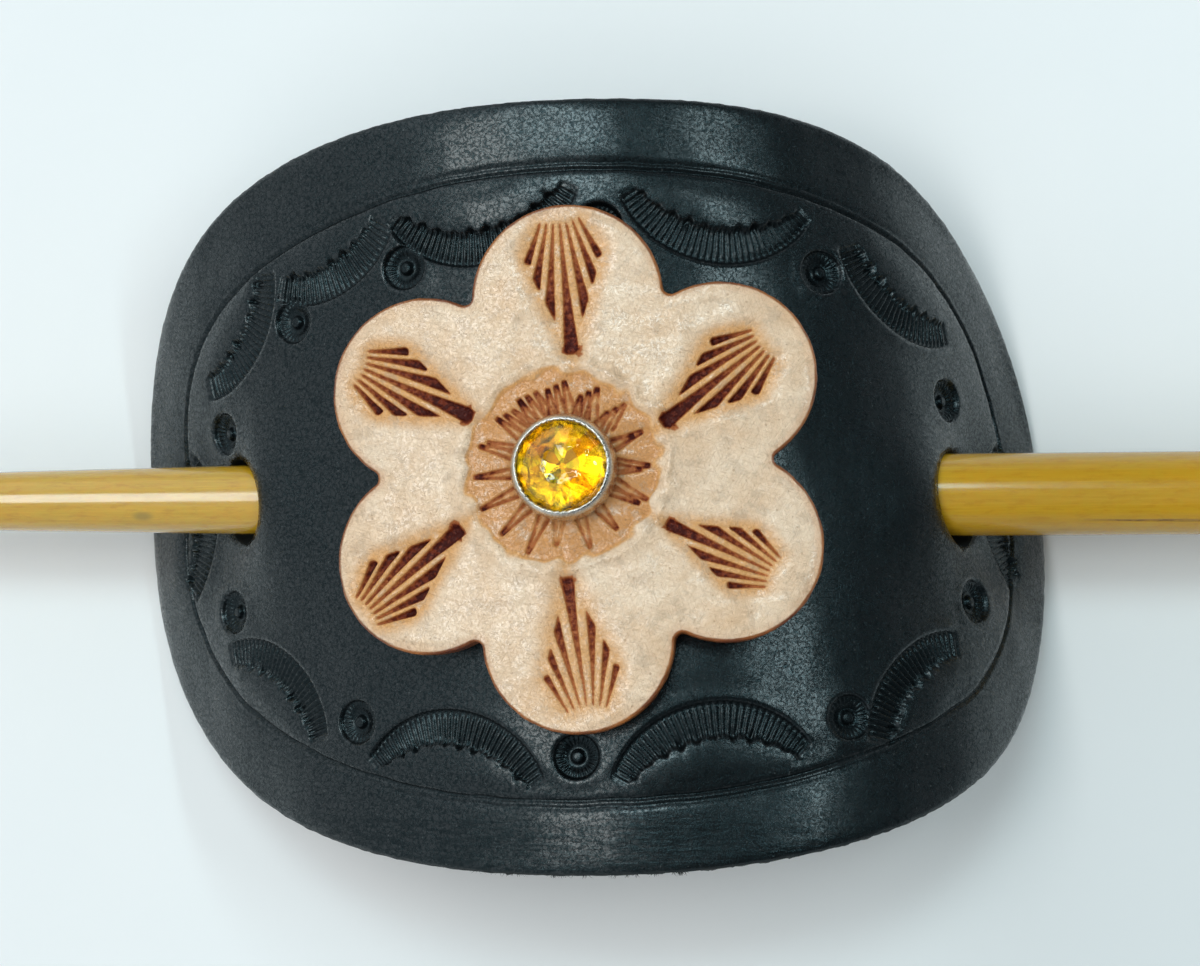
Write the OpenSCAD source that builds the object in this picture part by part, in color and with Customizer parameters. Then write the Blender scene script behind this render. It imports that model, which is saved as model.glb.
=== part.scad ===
// Hair barrette with stick, in millimetres, +Z up.
// An oval of thick leather is bent into an arch that stands on its left and right flaps.
// A six-petal leather flower is riveted to its crown through a rim setting with a round stone,
// and a tapered stick passes over each flap, through its hole and under the arch.
// The stick's axis lies along X at Y = 0, and the flaps rest on Z = 0.

/* [Leather plate] */
// Length of the oval before it is bent
plate_len = 112.6; // [104:0.2:118]
// Height of the oval, which doesn't change in bending
plate_ht = 73.8; // [68:0.2:80]
// Thickness of the plate's leather
plate_t = 3; // [2.4:0.1:3.4]
// Turn of the bend's axis away from the plate's short axis, in degrees
skew = 8; // [0:0.5:10]
// Width of the rounding along the cut edge
edge_round = 0.5; // [0.2:0.1:0.8]

/* [Stick holes] */
// Diameter of the hole punched on the left, where the stick is thinner
hole_left_d = 8.6; // [8:0.1:10]
// Diameter of the hole punched on the right, where the stick is thickest
hole_right_d = 9.2; // [9:0.1:10.5]
// How far the stick pushes each hole's lips in and out of the leather's surface
lip_lift = 1.2; // [0:0.1:1.6]

/* [Stick] */
// Length of the stick
stick_len = 165; // [150:1:180]
// Diameter of the stick's thick end
stick_d = 8.2; // [7.8:0.1:8.6]
// Diameter of the stick just before its blunt point
tip_d = 4.8; // [4:0.1:5.6]
// Height of the stick's axis above the surface that the arch stands on
stick_z = 14.2; // [13.8:0.1:14.6]

/* [Flower] */
// Distance from the flower's middle to the centre of each petal's round end
petal_r = 16; // [15:0.1:16.5]
// Radius of each petal's round end
petal_end_r = 8.9; // [8.5:0.1:9.3]
// Thickness of the flower's leather
flower_t = 2.8; // [2.2:0.1:3]
// Radius that the stiff flower is bowed to
flower_bow_r = 110; // [80:5:200]

/* [Setting and stone] */
// Outer diameter of the setting
setting_d = 9.4; // [9:0.1:10]
// Height of the setting's rim above the flower
setting_h = 2.6; // [2.2:0.1:3]
// Diameter of the stone at its girdle
stone_d = 8.5; // [8.2:0.1:8.6]
// Diameter of the stone's flat table
table_d = 4; // [3.6:0.1:4.6]

/* [Rivet] */
// Diameter of the rivet's post
post_d = 2.4; // [2:0.1:3]
// Diameter of the cap behind the plate
cap_d = 8; // [6:0.5:8.5]

/* [Hidden] */
$fn = 96;

// Middle of the oval, to the left of the stick's own middle
plate_at = [-0.75, 0];
// Height of the middle of the leather there. Each flap's lowest 0.5 mm or so is worn flat.
crown_z = 29;

// The oval's farthest points, off its middle, along the top, bottom, left and right
top_peak = 7.4;
bottom_peak = -1.6;
left_peak = -5.8;
right_peak = 0.4;
// Squareness of each corner of the oval, where 2 is a plain ellipse
corner_tl = 2.75;
corner_tr = 2.25;
corner_br = 2.3;
corner_bl = 2.2;
outline_n = 96;
plate_rings = [0.07, 0.16, 0.3, 0.42, 0.52, 0.59, 0.65, 0.7, 0.75, 0.81, 0.88, 0.95];
// Even spacing along the oval takes more angles near its corners
corner_crowding = 3;

// The bend: a row for each station along it, [distance from the middle, rise in degrees].
// Between two stations the leather follows one arc.
BEND = [
    [-58, 54], [-46, 48], [-38, 41], [-31, 34], [-25, 30], [-18, 25], [-9, 15], [0, 3],
    [9, -8], [18, -20], [25, -30], [31, -38.5], [38, -51], [46, -59], [58, -56]
];
AT = 0;
RISE = 1;
MIDDLE = 7;

// Places on the flat oval
hole_left_at = [-38.2, -0.6];
hole_right_at = [39.4, -0.2];
lip_reach = 5;
rivet_at = [-0.7, 1.05];

// Room that each hole leaves round the stick, and the stretch of X where it is kept clear
stick_room = 0.25;
way_in = 24;
way_out = 46;
// Gap between the flower and the plate, and between the metal and the leather
seat_gap = 0.1;
// The flat cap's gap at its middle, where the plate's underside is hollow
cap_gap = 0.4;

// The flower's middle from the rivet, its turn and the small round notch between petals
flower_off = [0.6, 0];
flower_turn = 2 - skew;
notch_r = 0.7;
petals = 6;
petal_steps = 11;
notch_steps = 3;
flower_rings = [0.35, 0.62, 0.84, 0.97];
flower_edge = 0.45;

// The setting's wall, its rolled lip and the stone's heights above the flower
wall_t = 0.4;
floor_t = 0.4;
lip_in = 0.3;
lip_drop = 0.5;
base_edge = 0.2;
girdle_z = 1.75;
girdle_half = 0.12;
star_z = 2.72;
star_d = 6.3;
table_z = 3.1;
culet_z = 0.55;
culet_d = 0.6;
ring_t = 0.01;
facets = 8;
cap_t = 1;

// Arcs of the bend. Each function works on the piece between station i and i + 1.
function arc_turn(i) = (BEND[i + 1][RISE] - BEND[i][RISE]) / (BEND[i + 1][AT] - BEND[i][AT]);
function arc_run(i, u) =
    let (turn = arc_turn(i), a0 = BEND[i][RISE], a1 = a0 + turn * (u - BEND[i][AT]))
    [sin(a1) - sin(a0), cos(a0) - cos(a1)] * 180 / (PI * turn);
function arc_start(i) =
    i == MIDDLE ? [0, 0]
    : i > MIDDLE ? arc_start(i - 1) + arc_run(i - 1, BEND[i][AT])
    : arc_start(i + 1) - arc_run(i, BEND[i + 1][AT]);
arc_starts = [for (i = [0 : len(BEND) - 1]) arc_start(i)];
function arc_of(u, i = 0) =
    i >= len(BEND) - 2 || u < BEND[i + 1][AT] ? i : arc_of(u, i + 1);

// Along the bend and along its axis, from a place on the flat oval
function along(p) = p.x * cos(skew) + p.y * sin(skew);
function across(p) = p.y * cos(skew) - p.x * sin(skew);

// The leather's lift at a stick hole: in on its outer side, out on the side near the crown
function lip(p, hole, toward) =
    let (s = (along(p) - along(hole)) * toward / lip_reach,
         t = (across(p) - across(hole)) / lip_reach)
    lip_lift * s * exp((1 - s * s - t * t) / 2);
function lifted(p) = lip(p, hole_left_at, 1) + lip(p, hole_right_at, -1);

// A place on the flat oval, carried to the bent plate, h above its middle surface
function bent(p, h) =
    let (u = along(p), v = across(p), i = arc_of(u),
         mid = arc_starts[i] + arc_run(i, u),
         rise = BEND[i][RISE] + arc_turn(i) * (u - BEND[i][AT]),
         up = h + lifted(p),
         run = mid.x - up * sin(rise))
    [run * cos(skew) - v * sin(skew) + plate_at.x,
     run * sin(skew) + v * cos(skew) + plate_at.y,
     mid.y + up * cos(rise) + crown_z];
function rise_at(p) =
    let (u = along(p), i = arc_of(u))
    BEND[i][RISE] + arc_turn(i) * (u - BEND[i][AT]);

// One corner of the oval: h and v are the half sizes, k its squareness, a the angle
function corner(h, v, k, a) = [h * pow(abs(cos(a)), 2 / k), v * pow(abs(sin(a)), 2 / k)];
function oval(a) =
    let (half_l = plate_len / 2, half_h = plate_ht / 2,
         is_right = a < 90 || a >= 270, is_top = a < 180,
         peak_x = is_top ? top_peak : bottom_peak,
         peak_y = is_right ? right_peak : left_peak,
         k = is_top ? (is_right ? corner_tr : corner_tl) : (is_right ? corner_br : corner_bl),
         c = corner(is_right ? half_l - peak_x : half_l + peak_x,
                    is_top ? half_h - peak_y : half_h + peak_y, k, a))
    [peak_x + (is_right ? c.x : -c.x), peak_y + (is_top ? c.y : -c.y)];

function oval_angle(j) =
    let (a = 360 * j / outline_n)
    a - corner_crowding * sin(4 * a);

// Joins rings of points into a closed skin, with a point at each end
function ring_faces(rings, n) = concat(
    [for (j = [0 : n - 1]) [0, 1 + (j + 1) % n, 1 + j]],
    [for (r = [0 : rings - 2], j = [0 : n - 1])
        let (a = 1 + r * n + j, b = 1 + r * n + (j + 1) % n) [a, b, a + n]],
    [for (r = [0 : rings - 2], j = [0 : n - 1])
        let (a = 1 + r * n + j, b = 1 + r * n + (j + 1) % n) [b, b + n, a + n]],
    [for (j = [0 : n - 1])
        let (last = 1 + (rings - 1) * n) [last + j, last + (j + 1) % n, last + n]]
);

// Rounded cut edge of a leather piece, a row per ring: [distance in from the cut, height]
IN = 0;
UP = 1;
function edge_rows(inset, t) = [
    [inset, t / 2], [0, t / 2 - inset], [0, inset - t / 2], [inset, -t / 2]
];

module plate_skin() {
    grid = [for (j = [0 : outline_n - 1]) oval(oval_angle(j))];
    edge = edge_rows(edge_round, plate_t);
    points = concat(
        [bent([0, 0], plate_t / 2)],
        [for (f = plate_rings, p = grid) bent(p * f, plate_t / 2)],
        [for (e = edge, p = grid) bent(p * (1 - e[IN] / norm(p)), e[UP])],
        [for (k = [len(plate_rings) - 1 : -1 : 0], p = grid)
            bent(p * plate_rings[k], -plate_t / 2)],
        [bent([0, 0], -plate_t / 2)]
    );
    polyhedron(points, ring_faces(2 * len(plate_rings) + len(edge), outline_n));
}

// Puts children on the bent plate's middle surface, with +Z along its outward normal
module on_plate(p) {
    translate(bent(p, 0))
        rotate([0, 0, skew])
            rotate([0, -rise_at(p), 0])
                children();
}

// A hole punched square through the leather, whose lips the stick has since pushed over
module punch(p, d, toward) {
    lean = atan(lip_lift * exp(0.5) / lip_reach) * toward;
    on_plate(p)
        rotate([0, -lean, 0])
            cylinder(d = d, h = 6 * plate_t, center = true);
}

// The stick's own way through the leather, beside each punched hole
module stick_way(x0, x1, d) {
    translate([x0, 0, stick_z])
        rotate([0, 90, 0])
            cylinder(d = d, h = x1 - x0);
}

module leather_plate() {
    color([0.13, 0.15, 0.16])
    difference() {
        plate_skin();
        punch(hole_left_at, hole_left_d, 1);
        punch(hole_right_at, hole_right_d, -1);
        stick_way(-way_out, -way_in, stick_d_at(-way_in) + 2 * stick_room);
        stick_way(way_in, way_out, stick_d + 2 * stick_room);
        on_plate(rivet_at)
            cylinder(d = post_d + 2 * seat_gap, h = 4 * plate_t, center = true);
        translate([-plate_len / 2, -plate_ht, -plate_t])
            cube([plate_len, 2 * plate_ht, plate_t]);
    }
}

// The flower's outline: each petal's round end, then a small round notch
petal_gap = 180 / petals;
notch_at = petal_r * cos(petal_gap)
    + sqrt(pow(petal_end_r + notch_r, 2) - pow(petal_r * sin(petal_gap), 2));
notch_half = atan2(petal_r * sin(petal_gap), notch_at - petal_r * cos(petal_gap));
petal_sweep = petal_gap + notch_half;
function polar(r, a) = [r * cos(a), r * sin(a)];
function flower_outline() = [
    for (k = [0 : petals - 1])
        let (mid = 360 * k / petals + 90 + flower_turn)
        each concat(
            [for (i = [0 : petal_steps - 1])
                polar(petal_r, mid)
                + polar(petal_end_r, mid + petal_sweep * (2 * i / (petal_steps - 1) - 1))],
            [for (i = [1 : notch_steps - 1])
                polar(notch_at, mid + petal_gap)
                + polar(notch_r, mid + petal_gap + 180
                    + notch_half * (1 - 2 * i / notch_steps))]
        )
];

// A place on the flat flower, carried to its bow, h above its underside
function bowed(p, h) =
    let (turn = p.x * 180 / (PI * flower_bow_r), r = flower_bow_r + h)
    [r * sin(turn), p.y, r * cos(turn) - flower_bow_r];

module flower_skin() {
    grid = flower_outline();
    n = len(grid);
    edge = edge_rows(flower_edge, flower_t);
    half = flower_t / 2;
    points = concat(
        [bowed(flower_off, flower_t)],
        [for (f = flower_rings, p = grid) bowed(p * f + flower_off, flower_t)],
        [for (e = edge, p = grid)
            bowed(p * (1 - e[IN] / norm(p)) + flower_off, e[UP] + half)],
        [for (k = [len(flower_rings) - 1 : -1 : 0], p = grid)
            bowed(p * flower_rings[k] + flower_off, 0)],
        [bowed(flower_off, 0)]
    );
    polyhedron(points, ring_faces(2 * len(flower_rings) + len(edge), n));
}

// Heights along the rivet's axis, from the plate's middle surface
flower_base = plate_t / 2 + seat_gap;
setting_base = flower_base + flower_t + seat_gap;
cap_top = -plate_t / 2 - cap_gap;

module flower() {
    color([0.87, 0.79, 0.69])
    on_plate(rivet_at)
        translate([0, 0, flower_base])
            difference() {
                flower_skin();
                cylinder(d = post_d + 2 * seat_gap, h = 4 * flower_t, center = true);
            }
}

// A cup whose wall is rolled in over the stone's girdle
module setting() {
    r = setting_d / 2;
    color([0.75, 0.76, 0.77])
    on_plate(rivet_at)
        translate([0, 0, setting_base])
            rotate_extrude()
                polygon([
                    [0, 0], [r - base_edge, 0], [r, base_edge], [r, setting_h - lip_drop],
                    [r - lip_in, setting_h], [r - wall_t - lip_in, setting_h],
                    [r - wall_t - lip_in, setting_h - base_edge],
                    [r - wall_t, girdle_z + lip_in], [r - wall_t, floor_t], [0, floor_t]
                ]);
}

// Round cut stone: table, star and kite facets, girdle and an eight-sided point below
module stone() {
    color([0.95, 0.65, 0.05, 0.85])
    on_plate(rivet_at)
        translate([0, 0, setting_base])
            hull() {
                stone_ring(table_z, table_d, facets, 0);
                stone_ring(star_z, star_d, facets, 180 / facets);
                stone_ring(girdle_z + girdle_half, stone_d, 2 * facets, 90 / facets);
                stone_ring(girdle_z - girdle_half, stone_d, 2 * facets, 90 / facets);
                stone_ring(culet_z, culet_d, facets, 0);
            }
}

// One ring of the stone's corners, as a thin plate
module stone_ring(z, d, n, turn) {
    translate([0, 0, z])
        rotate(turn)
            cylinder(d = d, h = ring_t, $fn = n, center = true);
}

module rivet() {
    color([0.7, 0.7, 0.7])
    on_plate(rivet_at)
        union() {
            translate([0, 0, cap_top - cap_t])
                cylinder(d = post_d, h = setting_base - cap_top + cap_t);
            translate([0, 0, cap_top - cap_t])
                cylinder(d = cap_d, h = cap_t);
        }
}

// The stick: a row for each station, [distance from its middle, diameter there]
X = 0;
DIA = 1;
butt_round = 0.8;
point_steps = [15 : 15 : 75];
STICK = [[-79, tip_d], [-60, 6], [-36, 6.9], [0, 7.7], [30, stick_d]];
function stick_d_at(x, i = 0) =
    i >= len(STICK) - 1 ? stick_d
    : x < STICK[i + 1][X]
        ? STICK[i][DIA] + (STICK[i + 1][DIA] - STICK[i][DIA]) * (x - STICK[i][X])
            / (STICK[i + 1][X] - STICK[i][X])
        : stick_d_at(x, i + 1);

module stick() {
    half = stick_len / 2;
    tip_len = STICK[0][X] + half;
    outline = concat(
        [[0, -half]],
        [for (a = point_steps) [tip_d / 2 * sin(a), STICK[0][X] - tip_len * cos(a)]],
        [for (s = STICK) [s[DIA] / 2, s[X]]],
        [[stick_d / 2, half - butt_round], [stick_d / 2 - butt_round, half], [0, half]]
    );
    color([0.78, 0.58, 0.24])
    translate([0, 0, stick_z])
        rotate([0, 90, 0])
            rotate_extrude()
                polygon(outline);
}

leather_plate();
flower();
setting();
stone();
rivet();
stick();
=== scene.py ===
# %% [markdown]
# # Hair barrette with a stick
# The real object is an oval of thick black leather, bent into an arch while it was wet.
# A flower of undyed leather is riveted to its crown with a yellow stone, and a lacquered
# stick passes through one hole in each flap.
# The solids were drawn in a CAD program. This lesson loads them as a fixed frame, then
# makes each visible piece again with the detail that a plain solid can't carry.

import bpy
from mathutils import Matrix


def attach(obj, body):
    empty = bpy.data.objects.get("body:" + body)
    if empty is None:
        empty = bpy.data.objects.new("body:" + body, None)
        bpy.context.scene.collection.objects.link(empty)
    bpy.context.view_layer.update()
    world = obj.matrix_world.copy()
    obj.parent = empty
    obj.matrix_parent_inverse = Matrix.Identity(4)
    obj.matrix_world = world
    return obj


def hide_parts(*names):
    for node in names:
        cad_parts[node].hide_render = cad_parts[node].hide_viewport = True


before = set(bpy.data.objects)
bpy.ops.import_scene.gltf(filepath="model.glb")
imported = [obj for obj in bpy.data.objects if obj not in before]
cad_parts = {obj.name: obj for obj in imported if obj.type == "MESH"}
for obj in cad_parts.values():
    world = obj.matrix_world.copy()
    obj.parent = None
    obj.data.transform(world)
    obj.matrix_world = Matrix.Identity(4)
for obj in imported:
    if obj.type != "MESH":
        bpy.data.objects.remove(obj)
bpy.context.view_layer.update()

import math

import bpy
import bmesh
import numpy as np
from mathutils import Matrix, Vector
from mathutils.geometry import delaunay_2d_cdt

# %% [markdown]
# ## Values shared with the solids
# Blender works in metres, but leather is cut in millimetres, so the lesson keeps every
# size in millimetres and multiplies by MM only when it makes a mesh. These numbers repeat
# those of the solids. If one changes there, it has to be changed here too.

# %% Sizes of the real pieces, in millimetres
MM = 0.001
PLATE = {"length": 112.6, "height": 73.8, "thick": 3.0, "skew": math.radians(8),
         "middle": (-0.75, 0.0), "crown": 29.0}
PEAKS = {"top": 7.4, "bottom": -1.6, "left": -5.8, "right": 0.4}
CORNERS = {"top left": 2.75, "top right": 2.25, "bottom right": 2.3, "bottom left": 2.2}
# Distance along the bend from the middle, and the leather's rise there in degrees
BEND = np.array([
    (-58, 54), (-46, 48), (-38, 41), (-31, 34), (-25, 30), (-18, 25), (-9, 15), (0, 3),
    (9, -8), (18, -20), (25, -30), (31, -38.5), (38, -51), (46, -59), (58, -56)], float)
MIDDLE = 7
# Middle, diameter, and which way along the bend its lip was lifted
HOLES = {"left": ((-38.2, -0.6), 8.6, 1), "right": ((39.4, -0.2), 9.2, -1)}
LIP_LIFT, LIP_REACH = 1.2, 5.0
STICK_Z, STICK_ROOM, STICK_LEN = 14.2, 0.25, 165.0
# Place along the stick and its diameter there
STICK = np.array([(-79, 4.8), (-60, 6), (-36, 6.9), (0, 7.7), (30, 8.2), (82.5, 8.2)])
RIVET = np.array((-0.7, 1.05))
SEAT_GAP, POST_D = 0.1, 2.4
FLOWER = {"off": np.array((0.6, 0.0)), "petal_r": 16.0, "end_r": 8.9, "notch_r": 0.7,
          "turn": math.radians(-6), "thick": 2.8, "bow_r": 110.0}
PETALS = 6
FLOWER_BASE = PLATE["thick"] / 2 + SEAT_GAP
SETTING_BASE = FLOWER_BASE + FLOWER["thick"] + SEAT_GAP
print("The flower sits", FLOWER_BASE, "mm above the middle of the plate's leather")

# %% [markdown]
# ## The bend
# Leather hardly stretches when it is bent, so the arch is easiest to think of as a flat
# oval that is rolled over a form. `bent` carries a place on the flat oval to the arch.
# All the tooling is laid out on the flat oval, as the maker did it, and is bent with it.

# %% Carry flat leather to the arch
BEND_AT, BEND_RISE = BEND[:, 0], np.radians(BEND[:, 1])
BEND_TURN = np.diff(BEND_RISE) / np.diff(BEND_AT)


def arc_run(i, u):
    """Steps along X and up Z from station i to a place u along the bend."""
    start = BEND_RISE[i]
    end = start + BEND_TURN[i] * (u - BEND_AT[i])
    return np.stack([(np.sin(end) - np.sin(start)) / BEND_TURN[i],
                     (np.cos(start) - np.cos(end)) / BEND_TURN[i]], -1)


arc_starts = np.zeros((len(BEND), 2))
for i in range(MIDDLE + 1, len(BEND)):
    arc_starts[i] = arc_starts[i - 1] + arc_run(i - 1, BEND_AT[i])
for i in range(MIDDLE - 1, -1, -1):
    arc_starts[i] = arc_starts[i + 1] - arc_run(i, BEND_AT[i + 1])

SKEW_C, SKEW_S = math.cos(PLATE["skew"]), math.sin(PLATE["skew"])


def along(p):
    return p[..., 0] * SKEW_C + p[..., 1] * SKEW_S


def across(p):
    return p[..., 1] * SKEW_C - p[..., 0] * SKEW_S


def lifted(p):
    """How far each stick hole's lips stand off the leather's own surface."""
    total = 0
    for centre, _, toward in HOLES.values():
        centre = np.array(centre)
        s = (along(p) - along(centre)) * toward / LIP_REACH
        t = (across(p) - across(centre)) / LIP_REACH
        total = total + LIP_LIFT * s * np.exp((1 - s * s - t * t) / 2)
    return total


def rise_at(p):
    u = along(p)
    i = np.clip(np.searchsorted(BEND_AT, u, side="right") - 1, 0, len(BEND_TURN) - 1)
    return BEND_RISE[i] + BEND_TURN[i] * (u - BEND_AT[i]), i


def bent(p, h):
    """Places p on the flat oval, carried to the arch, h above the leather's middle."""
    p = np.asarray(p, float)
    rise, i = rise_at(p)
    middle = arc_starts[i] + arc_run(i, along(p))
    up = h + lifted(p)
    run = middle[..., 0] - up * np.sin(rise)
    v = across(p)
    return np.stack([run * SKEW_C - v * SKEW_S + PLATE["middle"][0],
                     run * SKEW_S + v * SKEW_C + PLATE["middle"][1],
                     middle[..., 1] + up * np.cos(rise) + PLATE["crown"]], -1)


print("Crown's top:", bent(np.zeros(2), PLATE["thick"] / 2).round(1).tolist(), "mm")

# %% Axes of the rivet, which the flower and the stone stand on
rivet_foot = bent(RIVET, 0.0)
lean = -rise_at(RIVET)[0]
turn_z = np.array([[SKEW_C, -SKEW_S, 0], [SKEW_S, SKEW_C, 0], [0, 0, 1]])
turn_y = np.array([[math.cos(lean), 0, math.sin(lean)], [0, 1, 0],
                   [-math.sin(lean), 0, math.cos(lean)]])
RIVET_TURN = turn_z @ turn_y


def on_rivet(points):
    """Points about the rivet's own axis, in millimetres, carried to the arch."""
    return np.asarray(points, float) @ RIVET_TURN.T + rivet_foot


def bowed(p, h):
    """Places p on the flat flower, carried to its slight bow, h above its underside."""
    angle = p[..., 0] / FLOWER["bow_r"]
    r = FLOWER["bow_r"] + h
    return np.stack([r * np.sin(angle), p[..., 1],
                     r * np.cos(angle) - FLOWER["bow_r"] + FLOWER_BASE], -1)


print("Rivet leans", round(math.degrees(-lean), 1), "degrees")

# %% [markdown]
# ## Small mesh helpers
# A tooled surface needs points where its detail is, and few elsewhere. So each face of
# leather is a loose set of points: the cut edges, a plain grid, and a finer patch for
# each stamp. Blender's Delaunay function joins them into triangles in a blink. A
# subdivided grid would also do, but it would need the finest step everywhere.

# %% Make an object from arrays
def new_piece(name, points, faces, material_list=()):
    """A smooth-shaded mesh object, from points in millimetres and faces."""
    mesh = bpy.data.meshes.new(name)
    faces = np.asarray(faces)
    sides = faces.shape[1]
    mesh.vertices.add(len(points))
    mesh.vertices.foreach_set("co", (np.asarray(points) * MM).astype(np.float32).ravel())
    mesh.loops.add(faces.size)
    mesh.loops.foreach_set("vertex_index", faces.astype(np.int32).ravel())
    mesh.polygons.add(len(faces))
    mesh.polygons.foreach_set("loop_start", np.arange(0, faces.size, sides, dtype=np.int32))
    mesh.polygons.foreach_set("use_smooth", np.ones(len(faces), bool))
    mesh.update(calc_edges=True)
    mesh.validate()
    piece = bpy.data.objects.new(name, mesh)
    bpy.context.scene.collection.objects.link(piece)
    for material in material_list:
        mesh.materials.append(material)
    print(name, len(points), "points", len(faces), "faces")
    return piece


def paint(piece, name, values):
    """Stores one number a point on the mesh, for its material to read."""
    layer = piece.data.attributes.new(name, "FLOAT", "POINT")
    layer.data.foreach_set("value", np.asarray(values, np.float32))


def lay_flat(piece, flat, round_it=None):
    """Stores each point's place on the flat material as a UV map, at 100 mm to a unit.

    round_it is the way round a turned piece, so that no triangle spans its seam.
    """
    loops = np.zeros(len(piece.data.loops), np.int32)
    piece.data.loops.foreach_get("vertex_index", loops)
    uv = np.asarray(flat)[loops].reshape(-1, 3, 2)
    if round_it:
        behind = uv[:, :, 1].max(1, keepdims=True) - uv[:, :, 1] > round_it / 2
        uv[:, :, 1] += round_it * behind
    layer = piece.data.uv_layers.new(name="flat")
    layer.data.foreach_set("uv", (uv / 100).astype(np.float32).ravel())


# %% Walk round closed loops
def polar(r, a):
    """Points at distances r and angles a round the origin."""
    return np.stack([r * np.cos(a), r * np.sin(a)], -1)


def even_steps(loop, count):
    """Points spaced evenly along a closed loop."""
    closed = np.vstack([loop, loop[:1]])
    run = np.r_[0, np.cumsum(np.hypot(*np.diff(closed, axis=0).T))]
    at = np.linspace(0, run[-1], count, endpoint=False)
    return np.stack([np.interp(at, run, closed[:, k]) for k in (0, 1)], -1)


def radius_of(loop, centre=(0, 0)):
    """The loop's distance from its centre as a function of the angle."""
    d = np.asarray(loop) - np.asarray(centre)
    angle, r = np.arctan2(d[:, 1], d[:, 0]), np.hypot(d[:, 0], d[:, 1])
    order = np.argsort(angle)
    angle, r = angle[order], r[order]
    return lambda a: np.interp(a, angle, r, period=2 * math.pi)


def inside(p, loop, centre=(0, 0), margin=0.0):
    """Whether each point lies inside a loop, at least margin from it."""
    d = p - np.asarray(centre)
    return np.hypot(d[:, 0], d[:, 1]) < radius_of(loop, centre)(
        np.arctan2(d[:, 1], d[:, 0])) - margin


def outward(loop):
    """Unit normals of an anticlockwise loop, pointing out."""
    tangent = np.roll(loop, -1, 0) - np.roll(loop, 1, 0)
    tangent /= np.hypot(tangent[:, 0], tangent[:, 1])[:, None]
    return np.stack([tangent[:, 1], -tangent[:, 0]], -1)


quarter = polar(2.0, np.radians(np.arange(0, 360, 90)))
print("Four points on a circle of radius 2:", even_steps(quarter, 4).round(1).tolist())


# %% Fill an outline with triangles
def thin_out(p, step):
    """Keeps one point of each cell of a fine grid, the first that comes."""
    _, keep = np.unique(np.round(p / step).astype(int), axis=0, return_index=True)
    return p[np.sort(keep)]


def triangles(loose, edge, holes, centre=(0, 0)):
    """Joins loose points inside an edge loop and round holes of (centre, loop)."""
    loops = [edge] + [loop for _, loop in holes]
    fixed = np.vstack(loops)
    starts = np.cumsum([0] + [len(loop) for loop in loops])
    points = np.vstack([fixed, loose])
    sides = [(int(s + k), int(s + (k + 1) % len(loop)))
             for s, loop in zip(starts, loops) for k in range(len(loop))]
    out = delaunay_2d_cdt([Vector(q) for q in points.tolist()], sides, [], 0, 1e-6)
    flat = np.array([v[:] for v in out[0]])
    tri = np.array(out[2])
    middle = flat[tri].mean(1)
    keep = inside(middle, edge, centre)
    for at, loop in holes:
        keep &= ~inside(middle, loop, at)
    return flat, tri[keep]


def grid_points(half_x, half_y, step):
    """A grid whose every second row is set half a step aside."""
    x, y = np.meshgrid(np.arange(-half_x, half_x, step), np.arange(-half_y, half_y, step))
    y = y + step / 2 * (np.arange(x.shape[1]) % 2)[None]
    return np.stack([x.ravel(), y.ravel()], -1)


print("Triangles in a square of four points:", len(triangles(np.zeros((0, 2)), quarter, [])[1]))

# %% [markdown]
# ## Outline of the plate
# The oval was cut by hand, so its four corners differ. Each quarter is part of a
# superellipse, a stretched circle whose squareness is one number. The maker then ran a
# creaser round it, a tool that follows the cut edge and presses a fine line.

# %% The oval
def oval(a):
    """Place on the cut edge at each angle, each quarter with its own squareness."""
    half_l, half_h = PLATE["length"] / 2, PLATE["height"] / 2
    right, top = np.cos(a) >= 0, np.sin(a) >= 0
    peak_x = np.where(top, PEAKS["top"], PEAKS["bottom"])
    peak_y = np.where(right, PEAKS["right"], PEAKS["left"])
    k = np.where(top, np.where(right, CORNERS["top right"], CORNERS["top left"]),
                 np.where(right, CORNERS["bottom right"], CORNERS["bottom left"]))
    x = np.where(right, half_l - peak_x, half_l + peak_x) * abs(np.cos(a)) ** (2 / k)
    y = np.where(top, half_h - peak_y, half_h + peak_y) * abs(np.sin(a)) ** (2 / k)
    return np.stack([peak_x + np.where(right, x, -x), peak_y + np.where(top, y, -y)], -1)


plate_edge = even_steps(oval(np.linspace(0, 2 * math.pi, 7200, endpoint=False)), 900)
print("Edge is", round(np.hypot(*np.diff(plate_edge, axis=0).T).sum()), "mm round")

# %% The creased line inside the oval
# Distance of the creased line in from the edge, by the angle round the oval
CREASE = np.array([(0, 6.4), (25, 6.9), (45, 7.7), (70, 7.3), (90, 6.6), (120, 7.4),
                   (140, 8.5), (160, 7.1), (190, 7.6), (220, 7.8), (256, 6.9),
                   (290, 7.0), (322, 8.0), (338, 6.4)], float)
CREASE_BLEND = 0.25


def crease_inset(a):
    near = np.linspace(-CREASE_BLEND, CREASE_BLEND, 11)
    spread = [np.interp(np.degrees(a + d) % 360, CREASE[:, 0], CREASE[:, 1], period=360)
              for d in near]
    return np.mean(spread, 0)


edge_angle = np.arctan2(plate_edge[:, 1], plate_edge[:, 0])
crease = plate_edge - outward(plate_edge) * crease_inset(edge_angle)[:, None]
crease_r = radius_of(crease)
crease_slant = np.sum(outward(crease) * crease, 1) / np.hypot(*crease.T)
crease_angle = np.arctan2(crease[:, 1], crease[:, 0])
order = np.argsort(crease_angle)


def off_crease(p):
    """Distance from the creased line, positive outside it."""
    a = np.arctan2(p[:, 1], p[:, 0])
    slant = np.interp(a, crease_angle[order], crease_slant[order], period=2 * math.pi)
    return (np.hypot(p[:, 0], p[:, 1]) - crease_r(a)) * slant


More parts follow.
